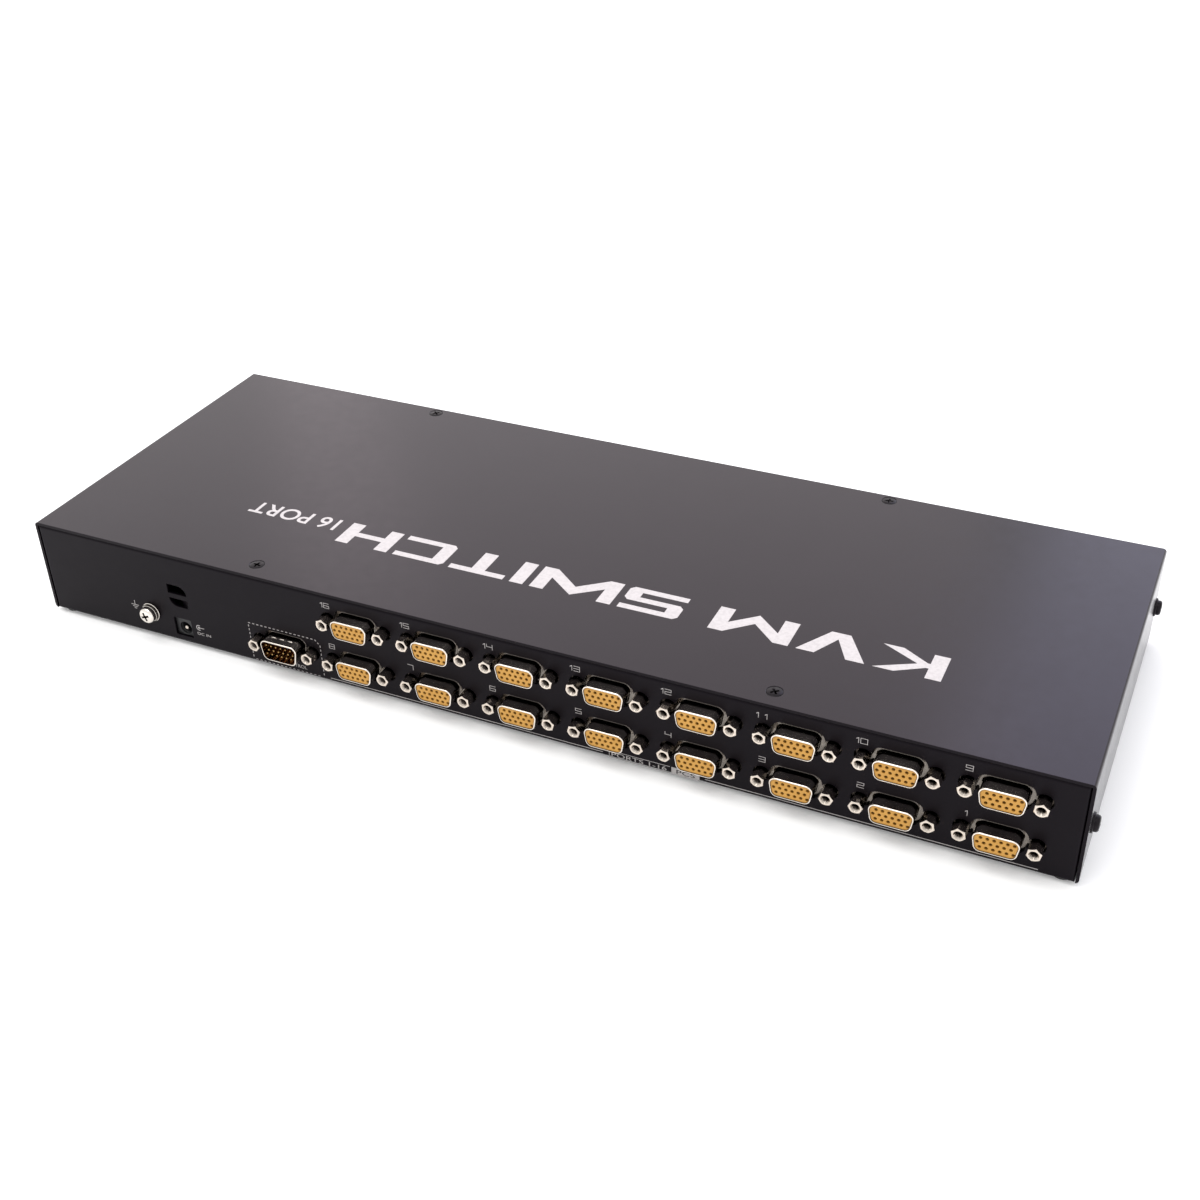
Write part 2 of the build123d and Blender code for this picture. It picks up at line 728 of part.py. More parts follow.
def make_ground_pieces():
    """Ground terminal: flat washer, split lock washer and an M4 screw through both."""
    stack = FLAT_WASHER_T + LOCK_WASHER_T
    split_w = 2 * (LOCK_WASHER_R - WASHER_BORE_R)
    screw = make_pan_screw(GROUND_HEAD_R, GROUND_HEAD_H, M4_SHANK_R, GROUND_SHANK_L)
    with BuildPart() as flat:
        with BuildSketch(rear_plane(FLAT_WASHER_T)):
            with Locations((GROUND_X, GROUND_Z)):
                Circle(FLAT_WASHER_R)
                Circle(WASHER_BORE_R, mode=Mode.SUBTRACT)
        extrude(amount=FLAT_WASHER_T)
    flat.part.label = "ground_flat_washer"
    with BuildPart() as lock:
        with BuildSketch(rear_plane(stack)):
            with Locations((GROUND_X, GROUND_Z)):
                Circle(LOCK_WASHER_R)
                Circle(WASHER_BORE_R, mode=Mode.SUBTRACT)
            with Locations(Location((GROUND_X - (LOCK_WASHER_R + WASHER_BORE_R) / 2, GROUND_Z, 0), 12)):
                Rectangle(split_w, LOCK_SPLIT_W, mode=Mode.SUBTRACT)
        extrude(amount=LOCK_WASHER_T)
    lock.part.label = "ground_lock_washer"
    with BuildPart() as terminal:
        with Locations(rear_seat(GROUND_X, GROUND_Z, stack)):
            add(screw)
    terminal.part.label = "ground_screw"
    return [flat.part, lock.part, terminal.part]


def make_cover_screws():
    """Four countersunk screws that hold the cover to the chassis returns."""
    with BuildPart() as one:
        with Locations((0, 0, -SHEET / 2)):
            Cone(COVER_HEAD_FOOT_R, COVER_HEAD_R, SHEET)
        with BuildSketch(Plane.XY.offset(-SHEET)):
            Circle(M3_SHANK_R)
        extrude(amount=-COVER_SHANK_L)
        with BuildSketch():
            Rectangle(COVER_RECESS_W, COVER_RECESS_SLOT)
            Rectangle(COVER_RECESS_SLOT, COVER_RECESS_W)
        extrude(amount=-COVER_RECESS_DEPTH, taper=15, mode=Mode.SUBTRACT)
    with BuildPart() as screws:
        with Locations(*[(x, y, TOP_Z) for x, y in COVER_SCREWS]):
            add(one.part)
    screws.part.label = "cover_screws"
    return screws.part


def make_side_screws():
    """Four flanged pan-head screws, two in each side of the cover."""
    head = make_pan_screw(SIDE_HEAD_R, SIDE_SCREW_PROUD - SIDE_FLANGE_T, M4_SHANK_R, SIDE_SHANK_L)
    with BuildPart() as one:
        with BuildSketch():
            Circle(SIDE_FLANGE_R)
        extrude(amount=SIDE_FLANGE_T)
        fillet(one.faces().sort_by(Axis.Z)[-1].edges(), SIDE_FLANGE_T * 0.4)
        with Locations((0, 0, SIDE_FLANGE_T)):
            add(head)
    with BuildPart() as screws:
        with Locations(*[side_seat(side, y, SIDE_SCREW_Z) for side in (-1, 1) for y in SIDE_SCREW_Y]):
            add(one.part)
    screws.part.label = "side_screws"
    return screws.part


def make_rubber_feet():
    """Four stuck-on feet, slightly narrower at the table."""
    with BuildPart() as feet:
        with BuildSketch(Plane.XY.offset(FLOOR_Z)):
            with Locations((0, MID_Y)):
                with GridLocations(CASE_W - 2 * FOOT_INSET, CASE_D - 2 * FOOT_INSET, 2, 2):
                    Circle(FOOT_R)
        extrude(amount=-FOOT_H, taper=8)
    feet.part.label = "rubber_feet"
    return feet.part


# ---- boards and electronics ----


def make_main_board():
    """Main circuit board, notched for the power inlet and drilled for its screws."""
    depth = CASE_D - BOARD_FRONT_GAP - BOARD_REAR_GAP
    rear_edge = REAR_Y - BOARD_REAR_GAP
    with BuildPart() as board:
        with BuildSketch(Plane.XY.offset(BOARD_Z)):
            with Locations((0, rear_edge - depth / 2)):
                RectangleRounded(BOARD_W, depth, 2.0)
            with Locations((DC_X, rear_edge)):
                Rectangle(DC_BODY_W + 0.6, 2 * (DC_BODY_D + 0.6), mode=Mode.SUBTRACT)
            with Locations(*BOARD_SCREWS):
                Circle(BOARD_HOLE_R, mode=Mode.SUBTRACT)
        extrude(amount=BOARD_T)
    board.part.label = "main_board"
    return board.part


def make_control_board():
    """Upright board behind the front panel, for the lamps and the button switches."""
    with BuildPart() as board:
        with BuildSketch(front_plane(CONTROL_GAP)):
            with Locations((CONTROL_X, CONTROL_Z)):
                RectangleRounded(CONTROL_W, CONTROL_H, 1.5)
            with Locations(*CONTROL_SCREWS):
                Circle(BOARD_HOLE_R, mode=Mode.SUBTRACT)
        extrude(amount=-BOARD_T)
    board.part.label = "control_board"
    return board.part


def make_board_standoffs():
    """Pressed-in threaded posts under the main board and behind the front panel."""
    with BuildPart() as posts:
        with BuildSketch(Plane.XY.offset(FLOOR_Z + SHEET)):
            with Locations(*BOARD_SCREWS):
                Circle(STANDOFF_R)
                Circle(BOARD_THREAD_R, mode=Mode.SUBTRACT)
        extrude(amount=BOARD_LIFT)
        with BuildSketch(front_plane(SHEET)):
            with Locations(*CONTROL_SCREWS):
                Circle(STANDOFF_R)
                Circle(BOARD_THREAD_R, mode=Mode.SUBTRACT)
        extrude(amount=SHEET - CONTROL_GAP)
    posts.part.label = "board_standoffs"
    return posts.part


def make_board_screws():
    """Pan-head screws that hold both boards to their posts."""
    one = make_pan_screw(SCREW_HEAD_R, SCREW_HEAD_H, BOARD_SHANK_R, BOARD_T + BOARD_LIFT - 0.4)
    back_y = FRONT_Y + CONTROL_GAP + BOARD_T
    upright = [Plane(origin=(x, back_y, z), x_dir=(-1, 0, 0), z_dir=(0, 1, 0)) for x, z in CONTROL_SCREWS]
    with BuildPart() as screws:
        with Locations(*[(x, y, BOARD_TOP_Z) for x, y in BOARD_SCREWS], *upright):
            add(one)
    screws.part.label = "board_screws"
    return screws.part


def make_switch_chips():
    """Signal switches behind each port pair, the processor and its memory."""
    with BuildPart() as chips:
        with BuildSketch(Plane.XY.offset(BOARD_TOP_Z)):
            with Locations(*[(x, REAR_Y - back) for x in COLUMN_X for back in SWITCH_CHIP_FROM_REAR]):
                RectangleRounded(*SWITCH_CHIP, 0.3)
            with Locations((PROCESSOR_X, REAR_Y - LOGIC_FROM_REAR)):
                RectangleRounded(PROCESSOR_W, PROCESSOR_W, 0.4)
            with Locations((MEMORY_X, REAR_Y - LOGIC_FROM_REAR)):
                RectangleRounded(*MEMORY, 0.3)
        extrude(amount=CHIP_T)
    chips.part.label = "switch_chips"
    return chips.part


def make_capacitors():
    """Electrolytic cans of the power supply, beside the power inlet."""
    with BuildPart() as cans:
        with BuildSketch(Plane.XY.offset(BOARD_TOP_Z)):
            with Locations((CAPACITOR_X, REAR_Y - CAPACITOR_FROM_REAR)):
                with GridLocations(*CAPACITOR_PITCH, 3, 2):
                    Circle(CAPACITOR_R)
        extrude(amount=CAPACITOR_H)
        fillet(cans.faces().filter_by(Axis.Z).group_by(Axis.Z)[-1].edges(), 0.6)
    cans.part.label = "capacitors"
    return cans.part


def make_ribbon_cable():
    """Flat cable and its two plugs, from the back of the control board down to the main board."""
    start_y = FRONT_Y + CONTROL_GAP + BOARD_T + RIBBON_PLUG_H
    bend_y = start_y + RIBBON_STRAIGHT
    down_y = bend_y + RIBBON_BEND_R
    with BuildPart() as ribbon:
        with BuildSketch(Plane.YZ.offset(RIBBON_X - RIBBON_W / 2)):
            with BuildLine() as route:
                Line((start_y, RIBBON_Z), (bend_y, RIBBON_Z))
                CenterArc((bend_y, RIBBON_Z - RIBBON_BEND_R), RIBBON_BEND_R, 0, 90)
                Line((down_y, RIBBON_Z - RIBBON_BEND_R), (down_y, BOARD_TOP_Z + RIBBON_PLUG_H))
            trace(route.wire(), RIBBON_T)
        extrude(amount=RIBBON_W)
        with BuildSketch(Plane.XY.offset(BOARD_TOP_Z)):
            with Locations((RIBBON_X, down_y)):
                Rectangle(*RIBBON_PLUG)
        extrude(amount=RIBBON_PLUG_H)
        with BuildSketch(front_plane(CONTROL_GAP + BOARD_T)):
            with Locations((RIBBON_X, RIBBON_Z)):
                Rectangle(*RIBBON_PLUG)
        extrude(amount=-RIBBON_PLUG_H)
    ribbon.part.label = "ribbon_cable"
    return ribbon.part


# ---- front panel ----


def make_port_leds():
    """Two lamps for each port and one for power, their domes in the front panel's holes."""
    length = CONTROL_GAP + LED_PROUD
    dome_z = length - LED_R
    with BuildPart() as one:
        with BuildSketch(Plane.XZ):
            with BuildLine():
                Polyline((0, 0), (LED_BASE_R, 0), (LED_BASE_R, LED_BASE_H), (LED_R, LED_BASE_H))
                Line((LED_R, LED_BASE_H), (LED_R, dome_z))
                RadiusArc((LED_R, dome_z), (0, length), -LED_R)
                Line((0, length), (0, 0))
            make_face()
        revolve(axis=Axis.Z)
    seats = [Plane(origin=(x, FRONT_Y + CONTROL_GAP, z), x_dir=(1, 0, 0), z_dir=(0, -1, 0)) for x, z in LEDS]
    with BuildPart() as lamps:
        with Locations(*seats):
            add(one.part)
    lamps.part.label = "port_leds"
    return lamps.part


def make_tact_switches():
    """Bodies of the three push switches, each with a bore for its plunger."""
    places = [(x, BUTTON_Z) for x in (*BUTTON_X, RESET_X)]
    with BuildPart() as switches:
        with BuildSketch(front_plane(CONTROL_GAP)):
            with Locations(*places):
                RectangleRounded(SWITCH_W, SWITCH_W, 0.5)
        extrude(amount=SWITCH_D)
        with BuildSketch(front_plane(CONTROL_GAP - SWITCH_D)):
            with Locations(*places):
                Circle(PLUNGER_R + PLUNGER_PLAY)
        extrude(amount=SWITCH_WALL - SWITCH_D, mode=Mode.SUBTRACT)
    switches.part.label = "tact_switches"
    return switches.part


def make_port_button(label, x):
    """Rectangular key with a retaining flange behind the panel and a plunger into its switch."""
    flange_depth = SHEET + BUTTON_PLAY
    with BuildPart() as button:
        with BuildSketch(front_plane(flange_depth)):
            with Locations((x, BUTTON_Z)):
                RectangleRounded(BUTTON_W, BUTTON_H, BUTTON_CORNER_R)
        extrude(amount=flange_depth + FRONT_PROUD)
        fillet(button.faces().sort_by(Axis.Y)[0].edges(), BUTTON_CORNER_R * 0.4)
        with BuildSketch(front_plane(flange_depth)):
            with Locations((x, BUTTON_Z)):
                Rectangle(BUTTON_W + 2 * BUTTON_FLANGE, BUTTON_H + 2 * BUTTON_FLANGE)
        extrude(amount=-BUTTON_FLANGE_T)
        with BuildSketch(front_plane(flange_depth + BUTTON_FLANGE_T)):
            with Locations((x, BUTTON_Z)):
                Circle(PLUNGER_R)
        extrude(amount=-PLUNGER_L)
    button.part.label = label
    return button.part


def make_reset_button():
    """Small round button whose face lies just inside the panel, so that it isn't pressed by accident."""
    flange_depth = SHEET + BUTTON_PLAY
    with BuildPart() as button:
        with BuildSketch(front_plane(flange_depth)):
            with Locations((RESET_X, BUTTON_Z)):
                Circle(RESET_R)
        extrude(amount=flange_depth - RESET_SINK)
        fillet(button.faces().sort_by(Axis.Y)[0].edges(), RESET_SINK)
        with BuildSketch(front_plane(flange_depth)):
            with Locations((RESET_X, BUTTON_Z)):
                Circle(RESET_R + BUTTON_FLANGE)
        extrude(amount=-BUTTON_FLANGE_T)
        with BuildSketch(front_plane(flange_depth + BUTTON_FLANGE_T)):
            with Locations((RESET_X, BUTTON_Z)):
                Circle(PLUNGER_R)
        extrude(amount=-PLUNGER_L)
    button.part.label = "reset_button"
    return button.part


def make_all():
    """Every piece of the switch, each one a node of its own."""
    pieces = [
        make_chassis(),
        make_top_cover(),
        make_connector_housings(),
        make_port_contacts(),
        make_jackscrews(),
        make_console_shell(),
        make_console_insulator(),
        make_console_pins(),
        make_dc_jack(),
        make_dc_jack_pin(),
        *make_ground_pieces(),
        make_cover_screws(),
        make_side_screws(),
        make_rubber_feet(),
        make_main_board(),
        make_control_board(),
        make_board_standoffs(),
        make_board_screws(),
        make_switch_chips(),
        make_capacitors(),
        make_ribbon_cable(),
        make_port_leds(),
        make_tact_switches(),
        make_port_button("port_down_button", BUTTON_X[0]),
        make_port_button("port_up_button", BUTTON_X[1]),
        make_reset_button(),
    ]
    for number, (x, z) in enumerate(PORTS, start=1):
        pieces.append(make_shell(f"port_{number:02d}_shell", x, z, PORT_D))
        pieces.append(make_port_insulator(f"port_{number:02d}_insulator", x, z))
    return pieces


for piece in make_all():
    export_step(piece, f"parts/{piece.label}.step")
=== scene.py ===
import json
import math

import bmesh
import bpy
from mathutils import Matrix, Vector


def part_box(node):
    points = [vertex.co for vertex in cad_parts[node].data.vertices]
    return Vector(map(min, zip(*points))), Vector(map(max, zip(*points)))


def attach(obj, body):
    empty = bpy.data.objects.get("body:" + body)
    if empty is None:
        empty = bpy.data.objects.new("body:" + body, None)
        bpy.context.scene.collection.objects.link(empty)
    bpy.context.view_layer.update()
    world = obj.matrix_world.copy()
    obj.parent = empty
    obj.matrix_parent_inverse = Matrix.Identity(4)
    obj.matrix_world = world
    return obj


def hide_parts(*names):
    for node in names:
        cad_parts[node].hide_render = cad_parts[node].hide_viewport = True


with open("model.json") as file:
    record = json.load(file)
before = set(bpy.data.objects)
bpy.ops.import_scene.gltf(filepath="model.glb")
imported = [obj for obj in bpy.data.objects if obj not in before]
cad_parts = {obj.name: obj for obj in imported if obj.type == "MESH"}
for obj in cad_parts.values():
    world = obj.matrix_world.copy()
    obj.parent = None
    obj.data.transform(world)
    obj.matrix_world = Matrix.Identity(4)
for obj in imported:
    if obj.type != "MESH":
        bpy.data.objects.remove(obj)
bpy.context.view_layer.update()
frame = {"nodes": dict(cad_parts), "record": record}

MM = 0.001
NODES = frame["nodes"]
RECORD = frame["record"]

# ---- sizes that only the looks need, in millimetres ----

# Sheet metal and connector shells
SHEET = 1.2
SHELL_T = 0.45
SHELL_R = 2.6
RIM_R = 0.35
FLARE_R = 0.45
D_LEAN = math.radians(10)
FLANGE_T = 0.5
FLANGE_R = 1.0
PORT_D = (16.9, 8.2)
CONSOLE_D = (17.8, 9.1)
DIMPLE_PITCH = 3.9
DIMPLE_OUT = 2.0
DIMPLE_H = 0.28

# Insulators; the hole radius is that of the flared mouths, wider than the part's own holes
NOSE_SETBACK = 0.25
NOSE_GAP = 0.04
BLOCK = (19.6, 9.4, 3.0)
PIN_HOLE_R = 0.62
PIN_PITCH = 2.26
PIN_ROW_PITCH = 2.0
PIN_ROW_SHIFT = 0.5
PIN_COLUMNS = 6

# Hex standoffs
JACK_SPACING = 24.99
JACK_FLATS = 4.76
JACK_HOLE_R = 1.15
JACK_MOUTH_R = 1.8
JACK_STUD = (1.4, 6.5)
THREAD_PITCH = 0.635
THREAD_DEPTH = 0.27
THREAD_TURNS = 6

# Power inlet
INLET_EARS = 2.0

# Fasteners, feet, lamps and buttons
WASHER_BORE = 2.2
FLAT_WASHER_R = 4.3
LOCK_WASHER_R = 3.7
LOCK_WASHER_RISE = 0.16
SCREW_SHANK_R = 1.95
GROUND_HEAD_R = 3.5
SIDE_HEAD_R = 3.0
SIDE_FLANGE = (3.7, 0.7)
COVER_HEAD_R = 3.2
FOOT_R = 4.5
LAMP_R = 1.5
LAMP_BASE_R = 1.9
LAMP_DEPTH = 9.0
LAMP_PITCH = 12.0
PLUNGER_R = 1.65
BUTTON_FLANGE = 1.2
BUTTON_SEAT = -SHEET - 0.3

# Shading: lengths, then ranges of a noise and of how far a normal leans to an axis
EDGE_SOFTNESS = 0.25
# Reach of the painted shade in hollows, for plastic and then for metal
PLASTIC_CAVITY = 0.9
METAL_CAVITY = 2.7
NOISE_RANGE = (0.3, 0.7)
# The facing range sets the painted sheen of the coats
FACING_RANGE = (0.5, 0.95)

# Prints
INK = 0.03
WORD_PLACE = (-156.7, 24.8)
LETTER_GAP = 2.9
WORD_GAP = 12.4
LETTER_WIDTHS = {
    "K": 24.5, "V": 25.5, "M": 31.0, "S": 24.0, "W": 34.0,
    "I": 5.8, "T": 24.0, "C": 22.5, "H": 24.0,
}
SMALL_WORD_X = 96.5
SMALL_WORD_SIZE = (8.6, 42.0)
NUMBER_SIZE = (2.35, 2.6)
NUMBER_OFFSET = (-11.2, 5.1)
DIGIT_GAP = 0.5
DIGIT_STROKE = 0.23
RULE_W = 0.35
THIN_RULE_W = 0.3
LABEL_RULE_W = 0.22
PORT_LINE_Z = 3.4
PORT_LINES = ((-76.0, 43.0), (83.5, 202.5))
CONSOLE_FRAME = (-112.8, -79.0, 2.9, 20.5)
FRAME_CORNER = 2.2
FRONT_DIGIT = (2.2, 1.9, 0.32)
FRONT_MARK_UP = 7.4


# ---- places taken from the frame ----


def box_mm(node):
    """Lowest and highest corner of a CAD node, in millimetres."""
    low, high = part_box(node)
    return Vector(low) / MM, Vector(high) / MM


def axis_of(node):
    """Where the axis of a piece on the rear or front panel crosses it: (x, z)."""
    low, high = box_mm(node)
    return (low.x + high.x) / 2, (low.z + high.z) / 2


COVER_LOW, COVER_HIGH = box_mm("top_cover")
TOP_Z = COVER_HIGH.z
REAR_Y = COVER_HIGH.y
FRONT_Y = COVER_LOW.y
PORTS = [axis_of(f"port_{number:02d}_shell") for number in range(1, 17)]
CONSOLE = (axis_of("console_shell")[0], box_mm("console_insulator")[0].z + BLOCK[1] / 2)
SHELL_LOW, SHELL_HIGH = box_mm("port_01_shell")
REAR_PROUD = SHELL_HIGH.y - REAR_Y
FLANGE = (SHELL_HIGH.x - SHELL_LOW.x, SHELL_HIGH.z - SHELL_LOW.z)
JACK_PROUD = box_mm("jackscrews")[1].y - REAR_Y


# ---- camera, lights and floor ----

AZIMUTH = math.radians(205.58)
ELEVATION = math.radians(33.45)
ROLL = math.radians(-1.68)
CAMERA_AT = Vector((-0.2380, 0.4811, 0.3683))
LENS = 46.74
SENSOR_WIDTH = 36.0
SKY_STRENGTH = 1.16
FLOOR_HALF = 12.0
FLOOR_GLOW = 0.12


def make_camera():
    """Camera behind the case, a little above it."""
    data = bpy.data.cameras.new("camera")
    data.sensor_width = SENSOR_WIDTH
    data.lens = LENS
    data.clip_start = 0.01
    data.clip_end = 50.0
    camera = bpy.data.objects.new("camera", data)
    bpy.context.scene.collection.objects.link(camera)
    back = Vector((
        math.sin(AZIMUTH) * math.cos(ELEVATION),
        -math.cos(AZIMUTH) * math.cos(ELEVATION),
        math.sin(ELEVATION),
    ))
    turn = back.to_track_quat("Z", "Y").to_matrix().to_4x4() @ Matrix.Rotation(ROLL, 4, "Z")
    camera.matrix_world = Matrix.Translation(CAMERA_AT) @ turn
    bpy.context.scene.camera = camera


def area_light(name, at, target, size, power, colour):
    data = bpy.data.lights.new(name, "AREA")
    data.shape = "RECTANGLE"
    data.size, data.size_y = size
    data.energy = power
    data.color = colour
    light = bpy.data.objects.new(name, data)
    light.location = at
    light.rotation_euler = (Vector(at) - Vector(target)).to_track_quat("Z", "Y").to_euler()
    bpy.context.scene.collection.objects.link(light)


def make_studio():
    """White floor, bright sky, one softbox above and a row of three beyond the front panel."""
    scene = bpy.context.scene
    scene.view_settings.view_transform = "Standard"
    world = bpy.data.worlds.new("studio")
    world.use_nodes = True
    sky = world.node_tree.nodes["Background"]
    sky.inputs["Color"].default_value = (1.0, 1.0, 1.0, 1)
    sky.inputs["Strength"].default_value = SKY_STRENGTH
    scene.world = world
    case = (0.0, 0.0, 0.04)
    area_light("softbox_top", (0.3, 0.3, 1.6), case, (1.4, 1.0), 13, (1.0, 0.99, 0.98))
    area_light("softbox_warm", (2.1, -1.5, 1.05), case, (1.7, 1.4), 4.2, (1.0, 0.86, 0.89))
    area_light("softbox_back", (0.75, -1.75, 1.15), case, (1.3, 1.4), 4.0, (1.0, 0.87, 0.91))
    area_light("softbox_cool", (-0.5, -1.65, 1.2), case, (1.2, 1.4), 9.6, (0.72, 0.74, 1.0))
    mesh = bpy.data.meshes.new("floor")
    half = FLOOR_HALF
    corners = [(-half, -half, 0), (half, -half, 0), (half, half, 0), (-half, half, 0)]
    mesh.from_pydata(corners, [], [(0, 1, 2, 3)])
    mesh.materials.append(paper())
    floor = bpy.data.objects.new("floor", mesh)
    scene.collection.objects.link(floor)


# ---- materials ----


class Shader:
    """A Principled material whose colour, roughness and bump come from textures in object space."""

    def __init__(self, name, metallic=0.0, specular=0.5, **constants):
        self.material = bpy.data.materials.new(name)
        self.material.use_nodes = True
        self.tree = self.material.node_tree
        self.surface = self.tree.nodes["Principled BSDF"]
        self.surface.inputs["Metallic"].default_value = metallic
        self.surface.inputs["Specular IOR Level"].default_value = specular
        for socket, value in constants.items():
            self.surface.inputs[socket.replace("_", " ")].default_value = value
        self.place = self.tree.nodes.new("ShaderNodeTexCoord").outputs["Object"]
        self.normal = None

    def rounded(self, radius_mm):
        """Softens sheared edges in the shading."""
        node = self.tree.nodes.new("ShaderNodeBevel")
        node.samples = 4
        node.inputs["Radius"].default_value = radius_mm * MM
        self.normal = node.outputs["Normal"]
        self.tree.links.new(self.normal, self.surface.inputs["Normal"])
        return self

    def noise(self, scale, detail=2.0, stretch=None):
        """A noise of that many cycles per metre, squeezed along the axes if stated."""
        place = self.place
        if stretch:
            mapping = self.tree.nodes.new("ShaderNodeMapping")
            mapping.inputs["Scale"].default_value = stretch
            self.tree.links.new(place, mapping.inputs["Vector"])
            place = mapping.outputs["Vector"]
        node = self.tree.nodes.new("ShaderNodeTexNoise")
        node.inputs["Scale"].default_value = scale
        node.inputs["Detail"].default_value = detail
        self.tree.links.new(place, node.inputs["Vector"])
        return node.outputs["Fac"]

    def colour(self, factor, stops):
        """Colour ramp of (position, colour) stops."""
        node = self.tree.nodes.new("ShaderNodeValToRGB")
        ends = node.color_ramp.elements
        for end, (position, colour) in zip(ends, (stops[0], stops[-1])):
            end.position = position
            end.color = (*colour, 1)
        for position, colour in stops[1:-1]:
            ends.new(position).color = (*colour, 1)
        self.tree.links.new(factor, node.inputs["Fac"])
        self.tree.links.new(node.outputs["Color"], self.surface.inputs["Base Color"])
        return self

    def rescaled(self, value, span, low, high):
        """Maps the span of a value to low..high, and clamps it there."""
        node = self.tree.nodes.new("ShaderNodeMapRange")
        node.inputs["From Min"].default_value = span[0]
        node.inputs["From Max"].default_value = span[1]
        node.inputs["To Min"].default_value = low
        node.inputs["To Max"].default_value = high
        self.tree.links.new(value, node.inputs["Value"])
        return node.outputs["Result"]

    def facing(self, axis, low, high):
        """A value that goes from low to high on faces that look along one axis, either way."""
        split = self.tree.nodes.new("ShaderNodeSeparateXYZ")
        coordinates = self.tree.nodes["Texture Coordinate"]
        self.tree.links.new(coordinates.outputs["Normal"], split.inputs["Vector"])
        magnitude = self.tree.nodes.new("ShaderNodeMath")
        magnitude.operation = "ABSOLUTE"
        self.tree.links.new(split.outputs[axis], magnitude.inputs[0])
        return self.rescaled(magnitude.outputs["Value"], FACING_RANGE, low, high)

    def by_facing(self, socket, panels, sides, top):
        """One value on front and rear faces, another on the sides and a third on top."""
        total = self.tree.nodes.new("ShaderNodeMath")
        self.tree.links.new(self.facing("Z", panels, top), total.inputs[0])
        self.tree.links.new(self.facing("X", 0.0, sides - panels), total.inputs[1])
        self.tree.links.new(total.outputs["Value"], self.surface.inputs[socket])
        return self

    def cavities(self, reach_mm, painted_shade, falloff_power=2.0):
        """Painted shade: blends the colour into a dark tone inside holes and narrow gaps, where
        nearby surfaces hide the light.
        """
        occlusion = self.tree.nodes.new("ShaderNodeAmbientOcclusion")
        occlusion.samples = 6
        occlusion.inputs["Distance"].default_value = reach_mm * MM
        falloff = self.tree.nodes.new("ShaderNodeMath")
        falloff.operation = "POWER"
        falloff.inputs[1].default_value = falloff_power
        mix = self.tree.nodes.new("ShaderNodeMix")
        mix.data_type = "RGBA"
        mix.inputs["A"].default_value = (*painted_shade, 1)
        colour = self.surface.inputs["Base Color"]
        self.tree.links.new(colour.links[0].from_socket, mix.inputs["B"])
        self.tree.links.new(occlusion.outputs["AO"], falloff.inputs[0])
        self.tree.links.new(falloff.outputs["Value"], mix.inputs["Factor"])
        self.tree.links.new(mix.outputs["Result"], colour)
        return self

    def roughness(self, factor, low, high):
        result = self.rescaled(factor, NOISE_RANGE, low, high)
        self.tree.links.new(result, self.surface.inputs["Roughness"])
        return self

    def bump(self, factor, height_mm, strength):
        node = self.tree.nodes.new("ShaderNodeBump")
        node.inputs["Strength"].default_value = strength
        node.inputs["Distance"].default_value = height_mm * MM
        self.tree.links.new(factor, node.inputs["Height"])
        if self.normal:
            self.tree.links.new(self.normal, node.inputs["Normal"])
        self.normal = node.outputs["Normal"]
        self.tree.links.new(self.normal, self.surface.inputs["Normal"])
        return self


def paper():
    """White acrylic floor, faintly lit from below."""
    glow = {"Emission_Color": (1, 1, 1, 1), "Emission_Strength": FLOOR_GLOW}
    shader = Shader("studio_floor", specular=0.1, **glow)
    shader.colour(shader.noise(3.0), [(0.3, (0.90, 0.90, 0.90)), (0.7, (0.92, 0.92, 0.92))])
    shader.roughness(shader.noise(40.0), 0.85, 0.95)
    return shader.material


def powder_coat(name, dark, light, speculars, rough):
    """Fine matt powder coat: pebbled skin, faintly mottled tone, and a painted sheen, its gloss set
    by the way a face looks.
    """
    shader = Shader(name, Specular_Tint=(1.0, 0.88, 1.0, 1)).rounded(EDGE_SOFTNESS)
    # painted sheen: top and sides reflect more than the front and rear panels
    shader.by_facing("Specular IOR Level", *speculars)
    shader.colour(shader.noise(45.0, 5.0), [(0.3, dark), (0.7, light)])
    shader.roughness(shader.noise(220.0, 3.0), rough - 0.03, rough + 0.03)
    shader.bump(shader.noise(2400.0, 3.0), 0.02, 0.3)
    return shader.material


def plated(name, colour, low, high, grain=None, painted_shade=None):
    """Plated metal with handling marks, a faint grain and painted shade darkening its corners and
    hollows.
    """
    shader = Shader(name, metallic=1.0)
    dull = tuple(c * 0.93 for c in colour)
    shader.colour(shader.noise(240.0, 4.0), [(0.35, dull), (0.62, colour)])
    # painted shade: the colour goes dark where nearby surfaces hide the light
    if painted_shade:
        shader.cavities(METAL_CAVITY, painted_shade, falloff_power=3.5)
    shader.roughness(shader.noise(500.0, 3.0), low, high)
    shader.bump(shader.noise(1500.0, 2.0, grain), 0.008, 0.3)
    return shader.material


def moulded(name, dark, light, low=0.35, high=0.5, specular=0.5, grain=900.0, painted_shade=None):
    """Moulded plastic: flow mottling, satin skin and a fine spark-eroded grain."""
    shader = Shader(name, specular=specular)
    shader.colour(shader.noise(180.0, 3.0), [(0.3, dark), (0.7, light)])
    # painted shade: the colour goes dark inside holes and narrow gaps
    if painted_shade:
        shader.cavities(PLASTIC_CAVITY, painted_shade)
    shader.roughness(shader.noise(grain / 2, 2.0), low, high)
    shader.bump(shader.noise(grain * 3, 2.0), 0.02, 0.4)
    return shader.material


def printed_ink(name, colour):
    """Screen-printed ink: a little uneven, thin spots let the coat show."""
    shader = Shader(name, specular=0.35)
    thin = tuple(c * 0.85 for c in colour)
    shader.colour(shader.noise(900.0, 4.0), [(0.3, thin), (0.6, colour)])
    shader.roughness(shader.noise(400.0), 0.45, 0.6)
    shader.bump(shader.noise(2600.0, 3.0), 0.02, 0.35)
    return shader.material


